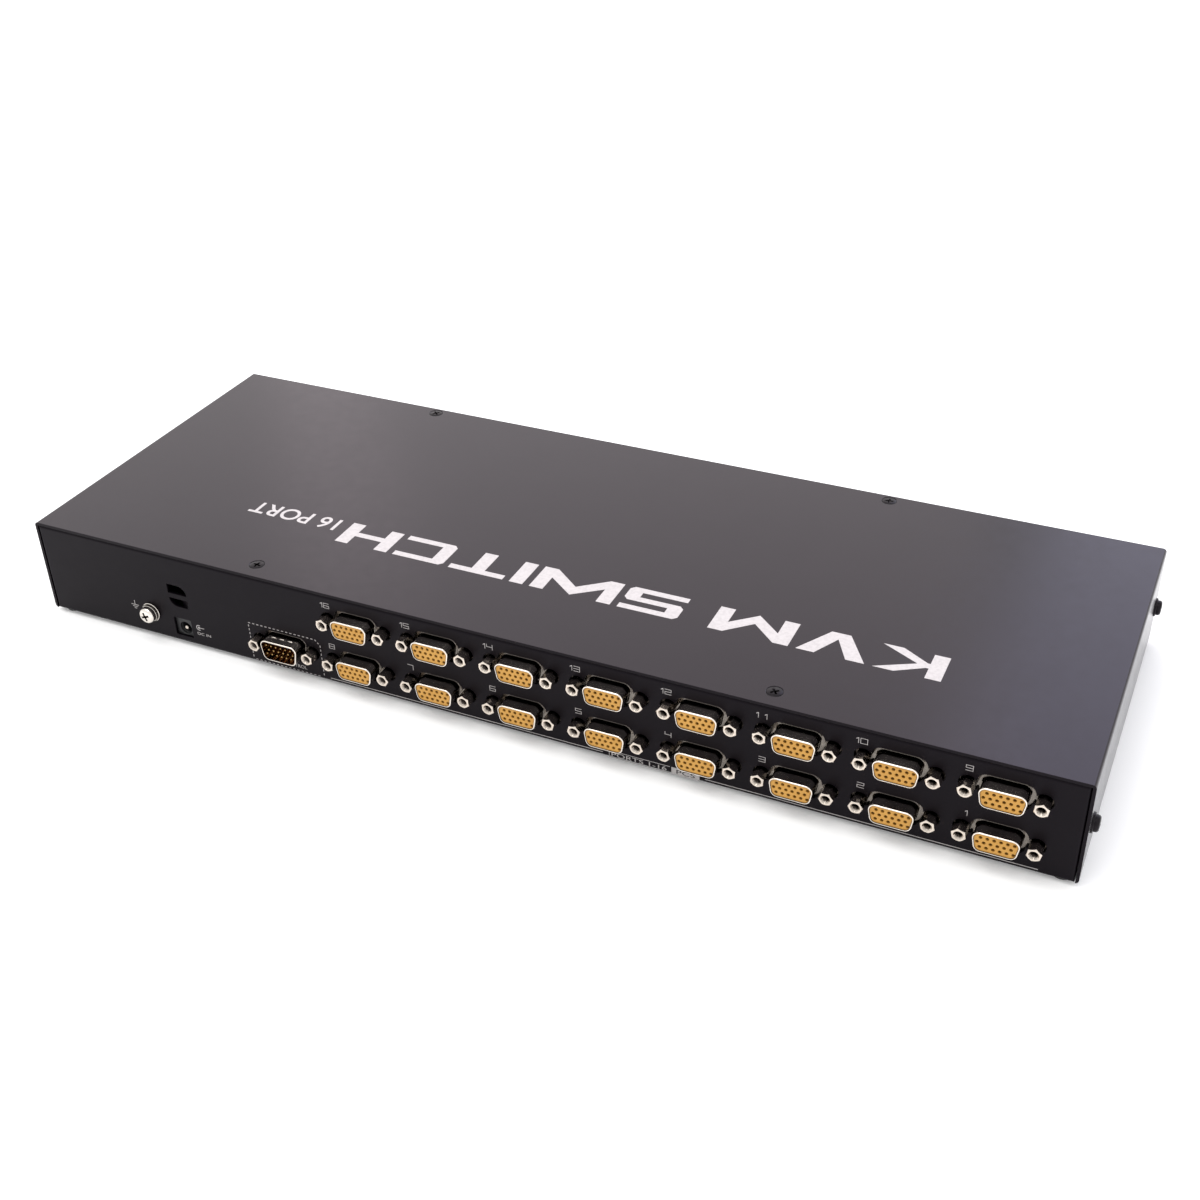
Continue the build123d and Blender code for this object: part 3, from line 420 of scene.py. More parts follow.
def circuit_board():
    """Green solder mask over faint copper tracks."""
    shader = Shader("board_green", specular=0.5)
    tracks = shader.noise(120.0, 1.0, (1, 6, 1))
    mask, copper = (0.010, 0.070, 0.028), (0.022, 0.125, 0.050)
    shader.colour(tracks, [(0.47, mask), (0.5, copper), (0.53, mask)])
    shader.roughness(shader.noise(300.0), 0.3, 0.42)
    shader.bump(tracks, 0.03, 0.5)
    return shader.material


def flat_cable():
    """Grey flat cable: one ridge for each conductor."""
    shader = Shader("ribbon_grey", specular=0.4)
    wave = shader.tree.nodes.new("ShaderNodeTexWave")
    wave.inputs["Scale"].default_value = 250.0
    shader.tree.links.new(shader.place, wave.inputs["Vector"])
    shader.colour(wave.outputs["Fac"], [(0.0, (0.20, 0.20, 0.21)), (1.0, (0.42, 0.42, 0.43))])
    shader.roughness(shader.noise(500.0), 0.4, 0.55)
    shader.bump(wave.outputs["Fac"], 0.2, 0.8)
    return shader.material


def lamp_lens():
    """Diffused epoxy of an unlit lamp."""
    shader = Shader("led_lens", specular=0.6, Transmission_Weight=0.35)
    shader.colour(shader.noise(700.0), [(0.3, (0.42, 0.47, 0.40)), (0.7, (0.52, 0.57, 0.49))])
    shader.roughness(shader.noise(900.0), 0.15, 0.25)
    return shader.material


def make_materials():
    """One material for each of the record's slots, and the inks."""
    nickel = (0.86, 0.79, 0.71)
    # Painted shade: the dark tone the plated parts take in their hollows and in the gaps near the
    # panel
    painted_metal_shade = (0.02, 0.015, 0.012)
    ochre, light_ochre = (0.46, 0.230, 0.038), (0.51, 0.265, 0.048)
    # Painted light: cover and chassis are one coat, given lighter tones on the cover and darker
    # ones on the chassis so the top reads lighter than the panels
    lit_cover_tones = (0.0034, 0.0026, 0.0036), (0.0048, 0.0038, 0.0050)
    shaded_chassis_tones = (0.0020, 0.0014, 0.0024), (0.0026, 0.0020, 0.0030)
    made = [
        powder_coat("cover_coat", *lit_cover_tones, (0.10, 0.50, 0.30), 0.20),
        powder_coat("chassis_coat", *shaded_chassis_tones, (0.10, 0.10, 0.10), 0.36),
        plated("nickel_shell", nickel, 0.09, 0.16, painted_shade=painted_metal_shade),
        plated("nickel_hardware", (0.72, 0.64, 0.56), 0.14, 0.22, painted_shade=painted_metal_shade),
        plated("zinc_hardware", (0.80, 0.75, 0.69), 0.13, 0.22, painted_shade=painted_metal_shade),
        # painted shade: the contacts go dark brown deep in their hollows
        plated("gold_contact", (0.38, 0.24, 0.09), 0.2, 0.3, painted_shade=(0.07, 0.03, 0.01)),
        plated("black_screw", (0.020, 0.018, 0.020), 0.28, 0.42),
        plated("capacitor_can", (0.66, 0.67, 0.69), 0.25, 0.4),
        # painted shade: the ochre goes dark red-brown inside the contact holes
        moulded("port_insulator", ochre, light_ochre, 0.4, 0.55, 0.35, painted_shade=(0.05, 0.008, 0.002)),
        moulded("console_insulator", (0.25, 0.085, 0.018), (0.31, 0.11, 0.024), 0.4, 0.55, 0.25),
        moulded("black_plastic", (0.012, 0.012, 0.013), (0.020, 0.020, 0.021), 0.4, 0.6),
        moulded("button_plastic", (0.035, 0.035, 0.038), (0.05, 0.05, 0.053), 0.42, 0.58),
        moulded("foot_rubber", (0.012, 0.012, 0.012), (0.022, 0.022, 0.022), 0.75, 0.95, 0.3, 1600),
        moulded("chip_epoxy", (0.012, 0.012, 0.013), (0.022, 0.022, 0.024), 0.5, 0.7),
        circuit_board(),
        flat_cable(),
        lamp_lens(),
        printed_ink("white_ink", (0.56, 0.525, 0.53)),
        printed_ink("grey_ink", (0.36, 0.34, 0.335)),
    ]
    return {material.name.split(".")[0]: material for material in made}


def dress_cad_nodes():
    """Gives every CAD node the material of its slot."""
    for entry in RECORD["subparts"]:
        mesh = NODES[entry["node"]].data
        mesh.materials.clear()
        mesh.materials.append(MATERIALS[entry["material_slot"]])


# ---- mesh helpers: lengths in millimetres, local Z out of the panel ----


def new_piece(name, bm, slot, place=None, replaces=(), body="case", material=None, sharp=35):
    """Turns bmesh data into a visible piece that rides on a CAD body."""
    if material is None:
        bmesh.ops.recalc_face_normals(bm, faces=bm.faces)
    mesh = bpy.data.meshes.new(name)
    bm.to_mesh(mesh)
    bm.free()
    mesh.transform(Matrix.Scale(MM, 4) @ (place or Matrix()))
    mesh.materials.append(MATERIALS[material or slot])
    mesh.shade_smooth()
    mesh.set_sharp_from_angle(angle=math.radians(sharp))
    piece = bpy.data.objects.new(name, mesh)
    bpy.context.scene.collection.objects.link(piece)
    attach(piece, body)
    if replaces:
        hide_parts(*replaces)
    return piece


def rear_place(x, z, out=0.0):
    """Seat on the rear panel as seen from behind: local X to the right, Y up, Z out."""
    turn = Matrix(((-1, 0, 0), (0, 0, 1), (0, 1, 0))).to_4x4()
    return Matrix.Translation((x, REAR_Y + out, z)) @ turn


def front_place(x, z, out=0.0):
    """Seat on the front panel as seen from the front."""
    turn = Matrix(((1, 0, 0), (0, 0, -1), (0, 1, 0))).to_4x4()
    return Matrix.Translation((x, FRONT_Y - out, z)) @ turn


def side_place(side, y, z):
    """Seat on the left or right face of the cover."""
    turn = Matrix(((0, 0, side), (side, 0, 0), (0, 1, 0))).to_4x4()
    return Matrix.Translation((side * COVER_HIGH.x, y, z)) @ turn


def top_place(x, y, out=0.0):
    """Seat on the cover's top, read from the front."""
    return Matrix.Translation((x, y, TOP_Z + out))


def add_rings(bm, rings, loop=False, cap_first=False, cap_last=False):
    """Skins closed rings of equal length one after the other; loop joins the last to the first."""
    made = [[bm.verts.new(point) for point in ring] for ring in rings]
    pairs = list(zip(made, made[1:]))
    if loop:
        pairs.append((made[-1], made[0]))
    count = len(made[0])
    for ring_a, ring_b in pairs:
        for k in range(count):
            n = (k + 1) % count
            bm.faces.new((ring_a[k], ring_a[n], ring_b[n], ring_b[k]))
    if cap_first:
        bm.faces.new(list(reversed(made[0])))
    if cap_last:
        bm.faces.new(made[-1])


def add_copies(bm, single, places):
    """Adds a copy of finished bmesh data at each place, and frees the single one."""
    mesh = bpy.data.meshes.new("single")
    bmesh.ops.recalc_face_normals(single, faces=single.faces)
    single.to_mesh(mesh)
    single.free()
    for place in places:
        copy = mesh.copy()
        copy.transform(place)
        bm.from_mesh(copy)
        bpy.data.meshes.remove(copy)
    bpy.data.meshes.remove(mesh)


def arc(centre, radius, first, last, steps):
    """Points of a circular arc, its angles in degrees."""
    angles = [math.radians(first + (last - first) * k / steps) for k in range(steps + 1)]
    return [(centre[0] + radius * math.cos(a), centre[1] + radius * math.sin(a)) for a in angles]


def circle(x, y, radius, steps=16):
    return arc((x, y), radius, 0, 360, steps)[:-1]


def add_lathe(bm, profile, steps=48, **ends):
    """Turns a profile of (radius, height) about the local Z axis."""
    rings = [[(x, y, height) for x, y in circle(0, 0, radius, steps)] for radius, height in profile]
    add_rings(bm, rings, **(ends or {"cap_first": True, "cap_last": True}))


def corner_arcs(corners, radius, steps=8):
    """(arc centre, outward direction) for each point of a rounded outline, anticlockwise."""
    found = []
    for k, corner in enumerate(corners):
        here = Vector(corner)
        before = (Vector(corners[k - 1]) - here).normalized()
        after = (Vector(corners[(k + 1) % len(corners)]) - here).normalized()
        centre = here + (before + after).normalized() * radius / math.sin(before.angle(after) / 2)
        first = math.atan2(before.x, -before.y)
        last = math.atan2(-after.x, after.y)
        sweep = (last - first + math.pi) % (2 * math.pi) - math.pi
        for step in range(steps + 1):
            angle = first + sweep * step / steps
            found.append((centre, Vector((math.cos(angle), math.sin(angle)))))
    return found


def d_corners(width, height):
    """Corners of the D outline, wide side up."""
    lean = height * math.tan(D_LEAN)
    return [
        (width / 2, height / 2),
        (-width / 2, height / 2),
        (lean - width / 2, -height / 2),
        (width / 2 - lean, -height / 2),
    ]


def box_corners(width, height):
    return [
        (width / 2, height / 2),
        (-width / 2, height / 2),
        (-width / 2, -height / 2),
        (width / 2, -height / 2),
    ]


def ring(arcs, radius, out):
    """One closed ring: the outline with that corner radius, standing out by that much."""
    return [(c.x + d.x * radius, c.y + d.y * radius, out) for c, d in arcs]


def add_block(bm, size, radius, back, front, edge):
    """Rounded plate from back to front, its front edge rounded too."""
    arcs = corner_arcs(box_corners(*size), radius)
    edge_arc = arc((radius - edge, front - edge), edge, 0, 90, 4)
    rings = [ring(arcs, radius, back)]
    rings += [ring(arcs, offset, out) for offset, out in edge_arc]
    add_rings(bm, rings, cap_first=True, cap_last=True)


def add_cross_cut(bm, reach, slot, top, depth):
    """Tapered cross for cutting a screwdriver recess."""
    rings = []
    for height, shrink in ((top + 0.2, 1.04), (top - depth * 0.55, 0.72), (top - depth, 0.3)):
        a, b = reach * shrink, slot / 2 * (0.55 + 0.45 * shrink)
        outline = [(a, -b), (a, b), (b, b), (b, a), (-b, a), (-b, b)]
        outline += [(-x, -y) for x, y in outline]
        rings.append([(x, y, height) for x, y in outline])
    add_rings(bm, rings, cap_first=True, cap_last=True)


def carve(bm, cutter):
    """Exact difference of two closed bodies; both inputs are used up."""
    holders = []
    for data in (bm, cutter):
        bmesh.ops.recalc_face_normals(data, faces=data.faces)
        mesh = bpy.data.meshes.new("carving")
        data.to_mesh(mesh)
        data.free()
        holder = bpy.data.objects.new("carving", mesh)
        bpy.context.scene.collection.objects.link(holder)
        holders.append(holder)
    modifier = holders[0].modifiers.new("cut", "BOOLEAN")
    modifier.operation = "DIFFERENCE"
    modifier.solver = "EXACT"
    modifier.object = holders[1]
    depsgraph = bpy.context.evaluated_depsgraph_get()
    result = bmesh.new()
    result.from_mesh(holders[0].evaluated_get(depsgraph).to_mesh())
    for holder in holders:
        mesh = holder.data
        bpy.data.objects.remove(holder)
        bpy.data.meshes.remove(mesh)
    return result


# ---- connectors ----


def shell_data(size):
    """Drawn shell: rolled rim, small flare at the foot and the flange behind the panel."""
    arcs = corner_arcs(d_corners(*size), SHELL_R)
    plate = corner_arcs(box_corners(*FLANGE), FLANGE_R)
    foot = -SHEET - FLANGE_T
    inner = SHELL_R - SHELL_T
    profile = [(inner, foot), (inner, REAR_PROUD - 0.05), (inner + 0.05, REAR_PROUD)]
    profile += arc((SHELL_R - RIM_R, REAR_PROUD - RIM_R), RIM_R, 90, 0, 6)
    profile += arc((SHELL_R + FLARE_R, FLARE_R - SHEET), FLARE_R, 180, 270, 6)
    rings = [ring(arcs, offset, out) for offset, out in profile]
    rings.append(ring(plate, FLANGE_R, -SHEET))
    rings.append(ring(plate, FLANGE_R, foot))
    bm = bmesh.new()
    add_rings(bm, rings, loop=True)
    return bm


def contact_places():
    """Centres of the contacts as seen from behind; the middle row is shifted to one side."""
    places = []
    for row in (-1, 0, 1):
        shift = -PIN_ROW_SHIFT if row == 0 else PIN_ROW_SHIFT
        for column in range(PIN_COLUMNS):
            x = (column - (PIN_COLUMNS - 1) / 2) * PIN_PITCH
            places.append((x + shift, row * PIN_ROW_PITCH))
    return places


def insulator_data():
    """Moulded nose with eighteen contact holes, and the block behind the flange."""
    face = REAR_PROUD - NOSE_SETBACK
    depth = face + SHEET + FLANGE_T
    edge = 0.12
    curve = bpy.data.curves.new("nose", "CURVE")
    curve.dimensions = "2D"
    curve.fill_mode = "BOTH"
    curve.extrude = depth / 2 - edge
    curve.bevel_depth = edge
    curve.offset = -edge
    curve.bevel_resolution = 2
    arcs = corner_arcs(d_corners(*PORT_D), SHELL_R, 6)
    loops = [[(x, y) for x, y, _ in ring(arcs, SHELL_R - SHELL_T - NOSE_GAP, 0)]]
    loops += [list(reversed(circle(x, y, PIN_HOLE_R, 14))) for x, y in contact_places()]
    for loop in loops:
        spline = curve.splines.new("POLY")
        spline.points.add(len(loop) - 1)
        for target, (x, y) in zip(spline.points, loop):
            target.co = (x, y, 0, 1)
        spline.use_cyclic_u = True
    holder = bpy.data.objects.new("nose", curve)
    mesh = bpy.data.meshes.new_from_object(holder)
    mesh.transform(Matrix.Translation((0, 0, face - depth / 2)))
    bm = bmesh.new()
    bm.from_mesh(mesh)
    bpy.data.objects.remove(holder)
    bpy.data.meshes.remove(mesh)
    bmesh.ops.remove_doubles(bm, verts=bm.verts, dist=1e-4)
    front = -SHEET - FLANGE_T - 0.01
    add_block(bm, BLOCK[:2], 0.4, front - BLOCK[2], front, 0.2)
    return bm


def make_ports():
    """Shell and insulator of the sixteen computer ports."""
    for number, (x, z) in enumerate(PORTS, start=1):
        name = f"port_{number:02d}"
        place = rear_place(x, z)
        shell, insulator = f"{name}_shell", f"{name}_insulator"
        new_piece(f"{shell}_look", shell_data(PORT_D), "nickel_shell", place, [shell])
        new_piece(f"{insulator}_look", insulator_data(), "port_insulator", place, [insulator])


def add_dimple(bm, x, y, out):
    """Pressed oblong bump on top of a shell."""
    straight, half_d = 0.6, 0.45
    steps, around = 6, 24
    rings = []
    for level in range(steps):
        climb = math.radians(90 * level / steps)
        level_y = y + DIMPLE_H * math.sin(climb)
        points = []
        for px, pz in circle(0, 0, half_d * math.cos(climb), around):
            points.append((x + px + math.copysign(straight, px), level_y, out + pz))
        rings.append(points)
    add_rings(bm, rings, cap_first=True, cap_last=True)


def make_console():
    """Male connector for the console cable: only its shell, the insulator and pins stay CAD."""
    bm = shell_data(CONSOLE_D)
    for column in (-1, 0, 1):
        add_dimple(bm, column * DIMPLE_PITCH, CONSOLE_D[1] / 2 - 0.02, DIMPLE_OUT)
    new_piece("console_shell_look", bm, "nickel_shell", rear_place(*CONSOLE), ["console_shell"])


def jack_data():
    """Hex standoff: turned chamfer on the corners, tapped hole in front, stud behind."""
    steps = 48
    angles = [2 * math.pi * k / steps for k in range(steps)]
    corners = []
    for angle in angles:
        off_flat = (angle + math.pi / 6) % (math.pi / 3) - math.pi / 6
        corners.append(JACK_FLATS / 2 / math.cos(off_flat))
    face_r = JACK_FLATS / 2 - 0.12

    def hexagon(out_at):
        return [(r * math.cos(a), r * math.sin(a), out_at(r)) for r, a in zip(corners, angles)]

    def round_ring(radius, out):
        return [(radius * math.cos(a), radius * math.sin(a), out) for a in angles]

    rings = [hexagon(lambda r: -SHEET), hexagon(lambda r: JACK_PROUD - 0.06 - (r - face_r) * 0.6)]
    rings += [round_ring(face_r, JACK_PROUD), round_ring(JACK_MOUTH_R, JACK_PROUD)]
    mouth = JACK_PROUD - (JACK_MOUTH_R - JACK_HOLE_R) * 0.8
    per_turn = 8
    for level in range(per_turn * THREAD_TURNS + 1):
        points = []
        for k, angle in enumerate(angles):
            phase = (level / per_turn + k / steps) % 1.0
            radius = JACK_HOLE_R + THREAD_DEPTH * (1 - abs(2 * phase - 1))
            out = mouth - THREAD_PITCH * level / per_turn
            points.append((radius * math.cos(angle), radius * math.sin(angle), out))
        rings.append(points)
    bm = bmesh.new()
    add_rings(bm, rings, cap_first=True, cap_last=True)
    stud_r, stud_l = JACK_STUD
    tip = -SHEET - stud_l
    add_lathe(bm, [(stud_r - 0.3, tip), (stud_r, tip + 0.3), (stud_r, -SHEET)], 24)
    return bm


def make_jackscrews():
    """Two hex standoffs beside each connector, each turned a little differently."""
    places = []
    for number, (x, z) in enumerate([*PORTS, CONSOLE]):
        for side in (-1, 1):
            twist = Matrix.Rotation(math.radians((number * 23 + side * 11) % 60), 4, "Z")
            places.append(rear_place(x + side * JACK_SPACING / 2, z) @ twist)
    bm = bmesh.new()
    add_copies(bm, jack_data(), places)
    new_piece("jackscrews_look", bm, "nickel_hardware", replaces=["jackscrews"], sharp=25)


def make_inlet():
    """Power inlet: square body with a stepped mouth."""
    low, high = box_mm("dc_jack")
    x, z = axis_of("dc_jack_pin")
    width, height = high.x - low.x - 2 * INLET_EARS, high.z - low.z
    face = high.y - REAR_Y
    back = low.y - REAR_Y
    arcs = corner_arcs(box_corners(width, height), 0.5, 8)
    steps = len(arcs)
    rings = [ring(arcs, 0.5, back), ring(arcs, 0.5, face - 0.2), ring(arcs, 0.3, face)]
    turn = math.atan2(height, width) - math.radians(45)
    middle = (low.z + high.z) / 2
    mouth = [(3.1, 0.0), (2.9, -0.2), (2.9, -1.2), (2.75, -1.35), (2.75, -9.4)]
    for radius, depth in mouth:
        points = []
        for k in range(steps):
            angle = 2 * math.pi * k / steps + turn
            across, up = radius * math.cos(angle), radius * math.sin(angle)
            points.append((across, up + z - middle, face + depth))
        rings.append(points)
    bm = bmesh.new()
    add_rings(bm, rings, cap_first=True, cap_last=True)
    new_piece("dc_jack_look", bm, "black_plastic", rear_place(x, middle), ["dc_jack"])


# ---- fasteners and feet ----


def pan_head(head_r, head_h, shank_r, shank_l, flange=None):
    """Cross-recessed pan head standing on z = 0, with its shank below."""
    profile = [(shank_r - 0.4, -shank_l), (shank_r, 0.4 - shank_l), (shank_r, 0)]
    base = 0.0
    if flange:
        flange_r, flange_t = flange
        profile += [(flange_r, 0), *arc((flange_r - 0.3, flange_t - 0.3), 0.3, 0, 90, 4)]
        base = flange_t
    curve = (head_h - base) * 0.55
    profile += [(head_r, base), *arc((head_r - curve, head_h - curve - 0.12), curve, 0, 80, 8)]
    profile += [(head_r * 0.3, head_h - 0.02)]
    bm = bmesh.new()
    add_lathe(bm, profile)
    cutter = bmesh.new()
    add_cross_cut(cutter, head_r * 0.58, head_r * 0.27, head_h, (head_h - base) * 0.8)
    return carve(bm, cutter)


def make_ground_terminal():
    """Flat washer, split lock washer and screw of the grounding point."""
    x, z = axis_of("ground_flat_washer")
    flat_t = box_mm("ground_flat_washer")[1].y - REAR_Y
    lock_t = box_mm("ground_lock_washer")[1].y - REAR_Y - flat_t
    head_h = box_mm("ground_screw")[1].y - REAR_Y - flat_t - lock_t
    bore = WASHER_BORE
    place = rear_place(x, z)

    def piece(node, data, at=place, sharp=25):
        new_piece(f"{node}_look", data, "zinc_hardware", at, [node], sharp=sharp)

    flat = bmesh.new()
    outer = FLAT_WASHER_R
    profile = [(bore, 0), (outer, 0), (outer, flat_t - 0.2), (outer - 0.2, flat_t)]
    profile += [(bore + 0.1, flat_t), (bore, flat_t - 0.1)]
    add_lathe(flat, profile, 64, loop=True)
    piece("ground_flat_washer", flat)

    lock = bmesh.new()
    steps, edge, outer = 72, 0.12, LOCK_WASHER_R
    sections = []
    for k in range(steps + 1):
        share = k / steps
        angle = math.radians(196 + 346 * share)
        low = flat_t + LOCK_WASHER_RISE * share
        high = low + lock_t - LOCK_WASHER_RISE
        section = [(bore, low + edge), (bore + edge, low), (outer - edge, low)]
        section += [(outer, low + edge), (outer, high - edge), (outer - edge, high)]
        section += [(bore + edge, high), (bore, high - edge)]
        sections.append([(r * math.cos(angle), r * math.sin(angle), h) for r, h in section])
    add_rings(lock, sections, cap_first=True, cap_last=True)
    piece("ground_lock_washer", lock)

    head_place = rear_place(x, z, flat_t + lock_t) @ Matrix.Rotation(math.radians(20), 4, "Z")
    piece("ground_screw", pan_head(GROUND_HEAD_R, head_h, SCREW_SHANK_R, 12.0), head_place, 35)


def make_side_screws():
    """Flanged screws that also take a rack bracket."""
    low, high = box_mm("side_screws")
    proud = high.x - COVER_HIGH.x
    flange_r = SIDE_FLANGE[0]
    z = (low.z + high.z) / 2
    places = []
    for number, y in enumerate((low.y + flange_r, high.y - flange_r)):
        for side in (-1, 1):
            twist = Matrix.Rotation(math.radians(31 * number + 40 * side), 4, "Z")
            places.append(side_place(side, y, z) @ twist)
    bm = bmesh.new()
    add_copies(bm, pan_head(SIDE_HEAD_R, proud, SCREW_SHANK_R, 8.0, SIDE_FLANGE), places)
    new_piece("side_screws_look", bm, "black_screw", replaces=["side_screws"])


def make_cover_screws():
    """Countersunk screws, a hair narrower than their dimples in the cover."""
    low, high = box_mm("cover_screws")
    head_r = COVER_HEAD_R
    bm = bmesh.new()
    profile = [(1.1, -5.0), (1.45, -4.7), (1.45, -1.6), (1.7, -1.3)]
    profile += [(2.85, -0.28), (2.95, -0.16), (2.8, -0.06), (1.0, -0.02)]
    add_lathe(bm, profile)
    cutter = bmesh.new()
    add_cross_cut(cutter, 1.75, 0.85, 0.0, 1.3)
    single = carve(bm, cutter)
    places = []
    for number, y in enumerate((low.y + head_r, high.y - head_r)):
        for x in (low.x + head_r, high.x - head_r):
            twist = Matrix.Rotation(math.radians(25 + 35 * number + x * 0.2), 4, "Z")
            places.append(top_place(x, y) @ twist)
    bm = bmesh.new()
    add_copies(bm, single, places)
    new_piece("cover_screws_look", bm, "black_screw", replaces=["cover_screws"])


def make_feet():
    """Stuck-on rubber feet with a rounded sole."""
    low, high = box_mm("rubber_feet")
    sole_r = FOOT_R - 0.25
    single = bmesh.new()
    profile = [(FOOT_R, high.z), *arc((sole_r - 0.4, 0.4), 0.4, 0, -90, 5)]
    profile += [(sole_r - 1.6, 0.0), (sole_r - 1.9, 0.15)]
    add_lathe(single, profile)
    places = [
        Matrix.Translation((x, y, 0))
        for x in (low.x + FOOT_R, high.x - FOOT_R)
        for y in (low.y + FOOT_R, high.y - FOOT_R)
    ]
    bm = bmesh.new()
    add_copies(bm, single, places)
    new_piece("rubber_feet_look", bm, "foot_rubber", replaces=["rubber_feet"])


# ---- front panel ----


def lamp_places():
    """Columns and rows of the port lamps, and the place of the power lamp."""
    low, high = box_mm("port_leds")
    first, last = low.x + LAMP_BASE_R, high.x - LAMP_BASE_R
    columns = [first + LAMP_PITCH * k for k in range(len(PORTS))]
    rows = (low.z + LAMP_BASE_R, high.z - LAMP_BASE_R)
    return columns, rows, (last, (low.z + high.z) / 2)


def make_lamps():
    """All the round-nosed lamps, as one piece."""
    columns, rows, power = lamp_places()
    proud = FRONT_Y - box_mm("port_leds")[0].y
    single = bmesh.new()
    rim = 1.0 - LAMP_DEPTH
    profile = [(LAMP_BASE_R, -LAMP_DEPTH), (LAMP_BASE_R, rim), (LAMP_R, rim)]
    profile += arc((0, proud - LAMP_R), LAMP_R, 0, 86, 10)
    add_lathe(single, profile, 32)
    bm = bmesh.new()
    spots = [(x, z) for x in columns for z in rows] + [power]
    add_copies(bm, single, [front_place(x, z) for x, z in spots])
    new_piece("port_leds_look", bm, "led_lens", replaces=["port_leds"])


def make_buttons():
    """Two rectangular keys and the sunken reset button, each riding on its own body."""
    for node, body in (("port_down_button", "port_down"), ("port_up_button", "port_up")):
        low, high = box_mm(node)
        x, z = axis_of(node)
        flange = (high.x - low.x, high.z - low.z)
        cap = (flange[0] - 2 * BUTTON_FLANGE, flange[1] - 2 * BUTTON_FLANGE)
        proud, tip = FRONT_Y - low.y, FRONT_Y - high.y
        bm = bmesh.new()
        add_block(bm, cap, 1.2, BUTTON_SEAT - 0.5, proud, 0.5)
        add_block(bm, flange, 0.4, BUTTON_SEAT - 1.0, BUTTON_SEAT, 0.1)
        plunger = [(PLUNGER_R - 0.25, tip), (PLUNGER_R, tip + 0.3), (PLUNGER_R, BUTTON_SEAT - 0.9)]
        add_lathe(bm, plunger, 32)
        new_piece(f"{node}_look", bm, "button_plastic", front_place(x, z), [node], body)
    low, high = box_mm("reset_button")
    x, z = axis_of("reset_button")
    flange_r = (high.x - low.x) / 2
    face, tip = FRONT_Y - low.y, FRONT_Y - high.y
    back = BUTTON_SEAT - 1.0
    bm = bmesh.new()
    profile = [(PLUNGER_R, tip), (PLUNGER_R, back), (flange_r, back)]
    profile += [(flange_r, BUTTON_SEAT), (2.0, BUTTON_SEAT)]
    profile += [*arc((1.7, face - 0.3), 0.3, 0, 90, 5), (1.2, face), (0.9, face - 0.12)]
    add_lathe(bm, profile)
    place = front_place(x, z)
    new_piece("reset_button_look", bm, "button_plastic", place, ["reset_button"], "reset")


# ---- prints ----

# Strokes of the squared numerals: column and row of both ends, rows counted from the bottom
BOTTOM, MIDDLE, TOP = (0, 0, 1, 0), (0, 1, 1, 1), (0, 2, 1, 2)
LOW_LEFT, HIGH_LEFT = (0, 0, 0, 1), (0, 1, 0, 2)
LOW_RIGHT, HIGH_RIGHT = (1, 0, 1, 1), (1, 1, 1, 2)
SEGMENTS = {
    "0": (BOTTOM, TOP, LOW_LEFT, HIGH_LEFT, LOW_RIGHT, HIGH_RIGHT),
    "1": (LOW_RIGHT, HIGH_RIGHT),
    "2": (BOTTOM, MIDDLE, TOP, LOW_LEFT, HIGH_RIGHT),
    "3": (BOTTOM, MIDDLE, TOP, LOW_RIGHT, HIGH_RIGHT),
    "4": (MIDDLE, HIGH_LEFT, LOW_RIGHT, HIGH_RIGHT),
    "5": (BOTTOM, MIDDLE, TOP, HIGH_LEFT, LOW_RIGHT),
    "6": (BOTTOM, MIDDLE, TOP, LOW_LEFT, HIGH_LEFT, LOW_RIGHT),
    "7": (TOP, LOW_RIGHT, HIGH_RIGHT),
    "8": (BOTTOM, MIDDLE, TOP, LOW_LEFT, HIGH_LEFT, LOW_RIGHT, HIGH_RIGHT),
    "9": (BOTTOM, MIDDLE, TOP, HIGH_LEFT, LOW_RIGHT, HIGH_RIGHT),
}


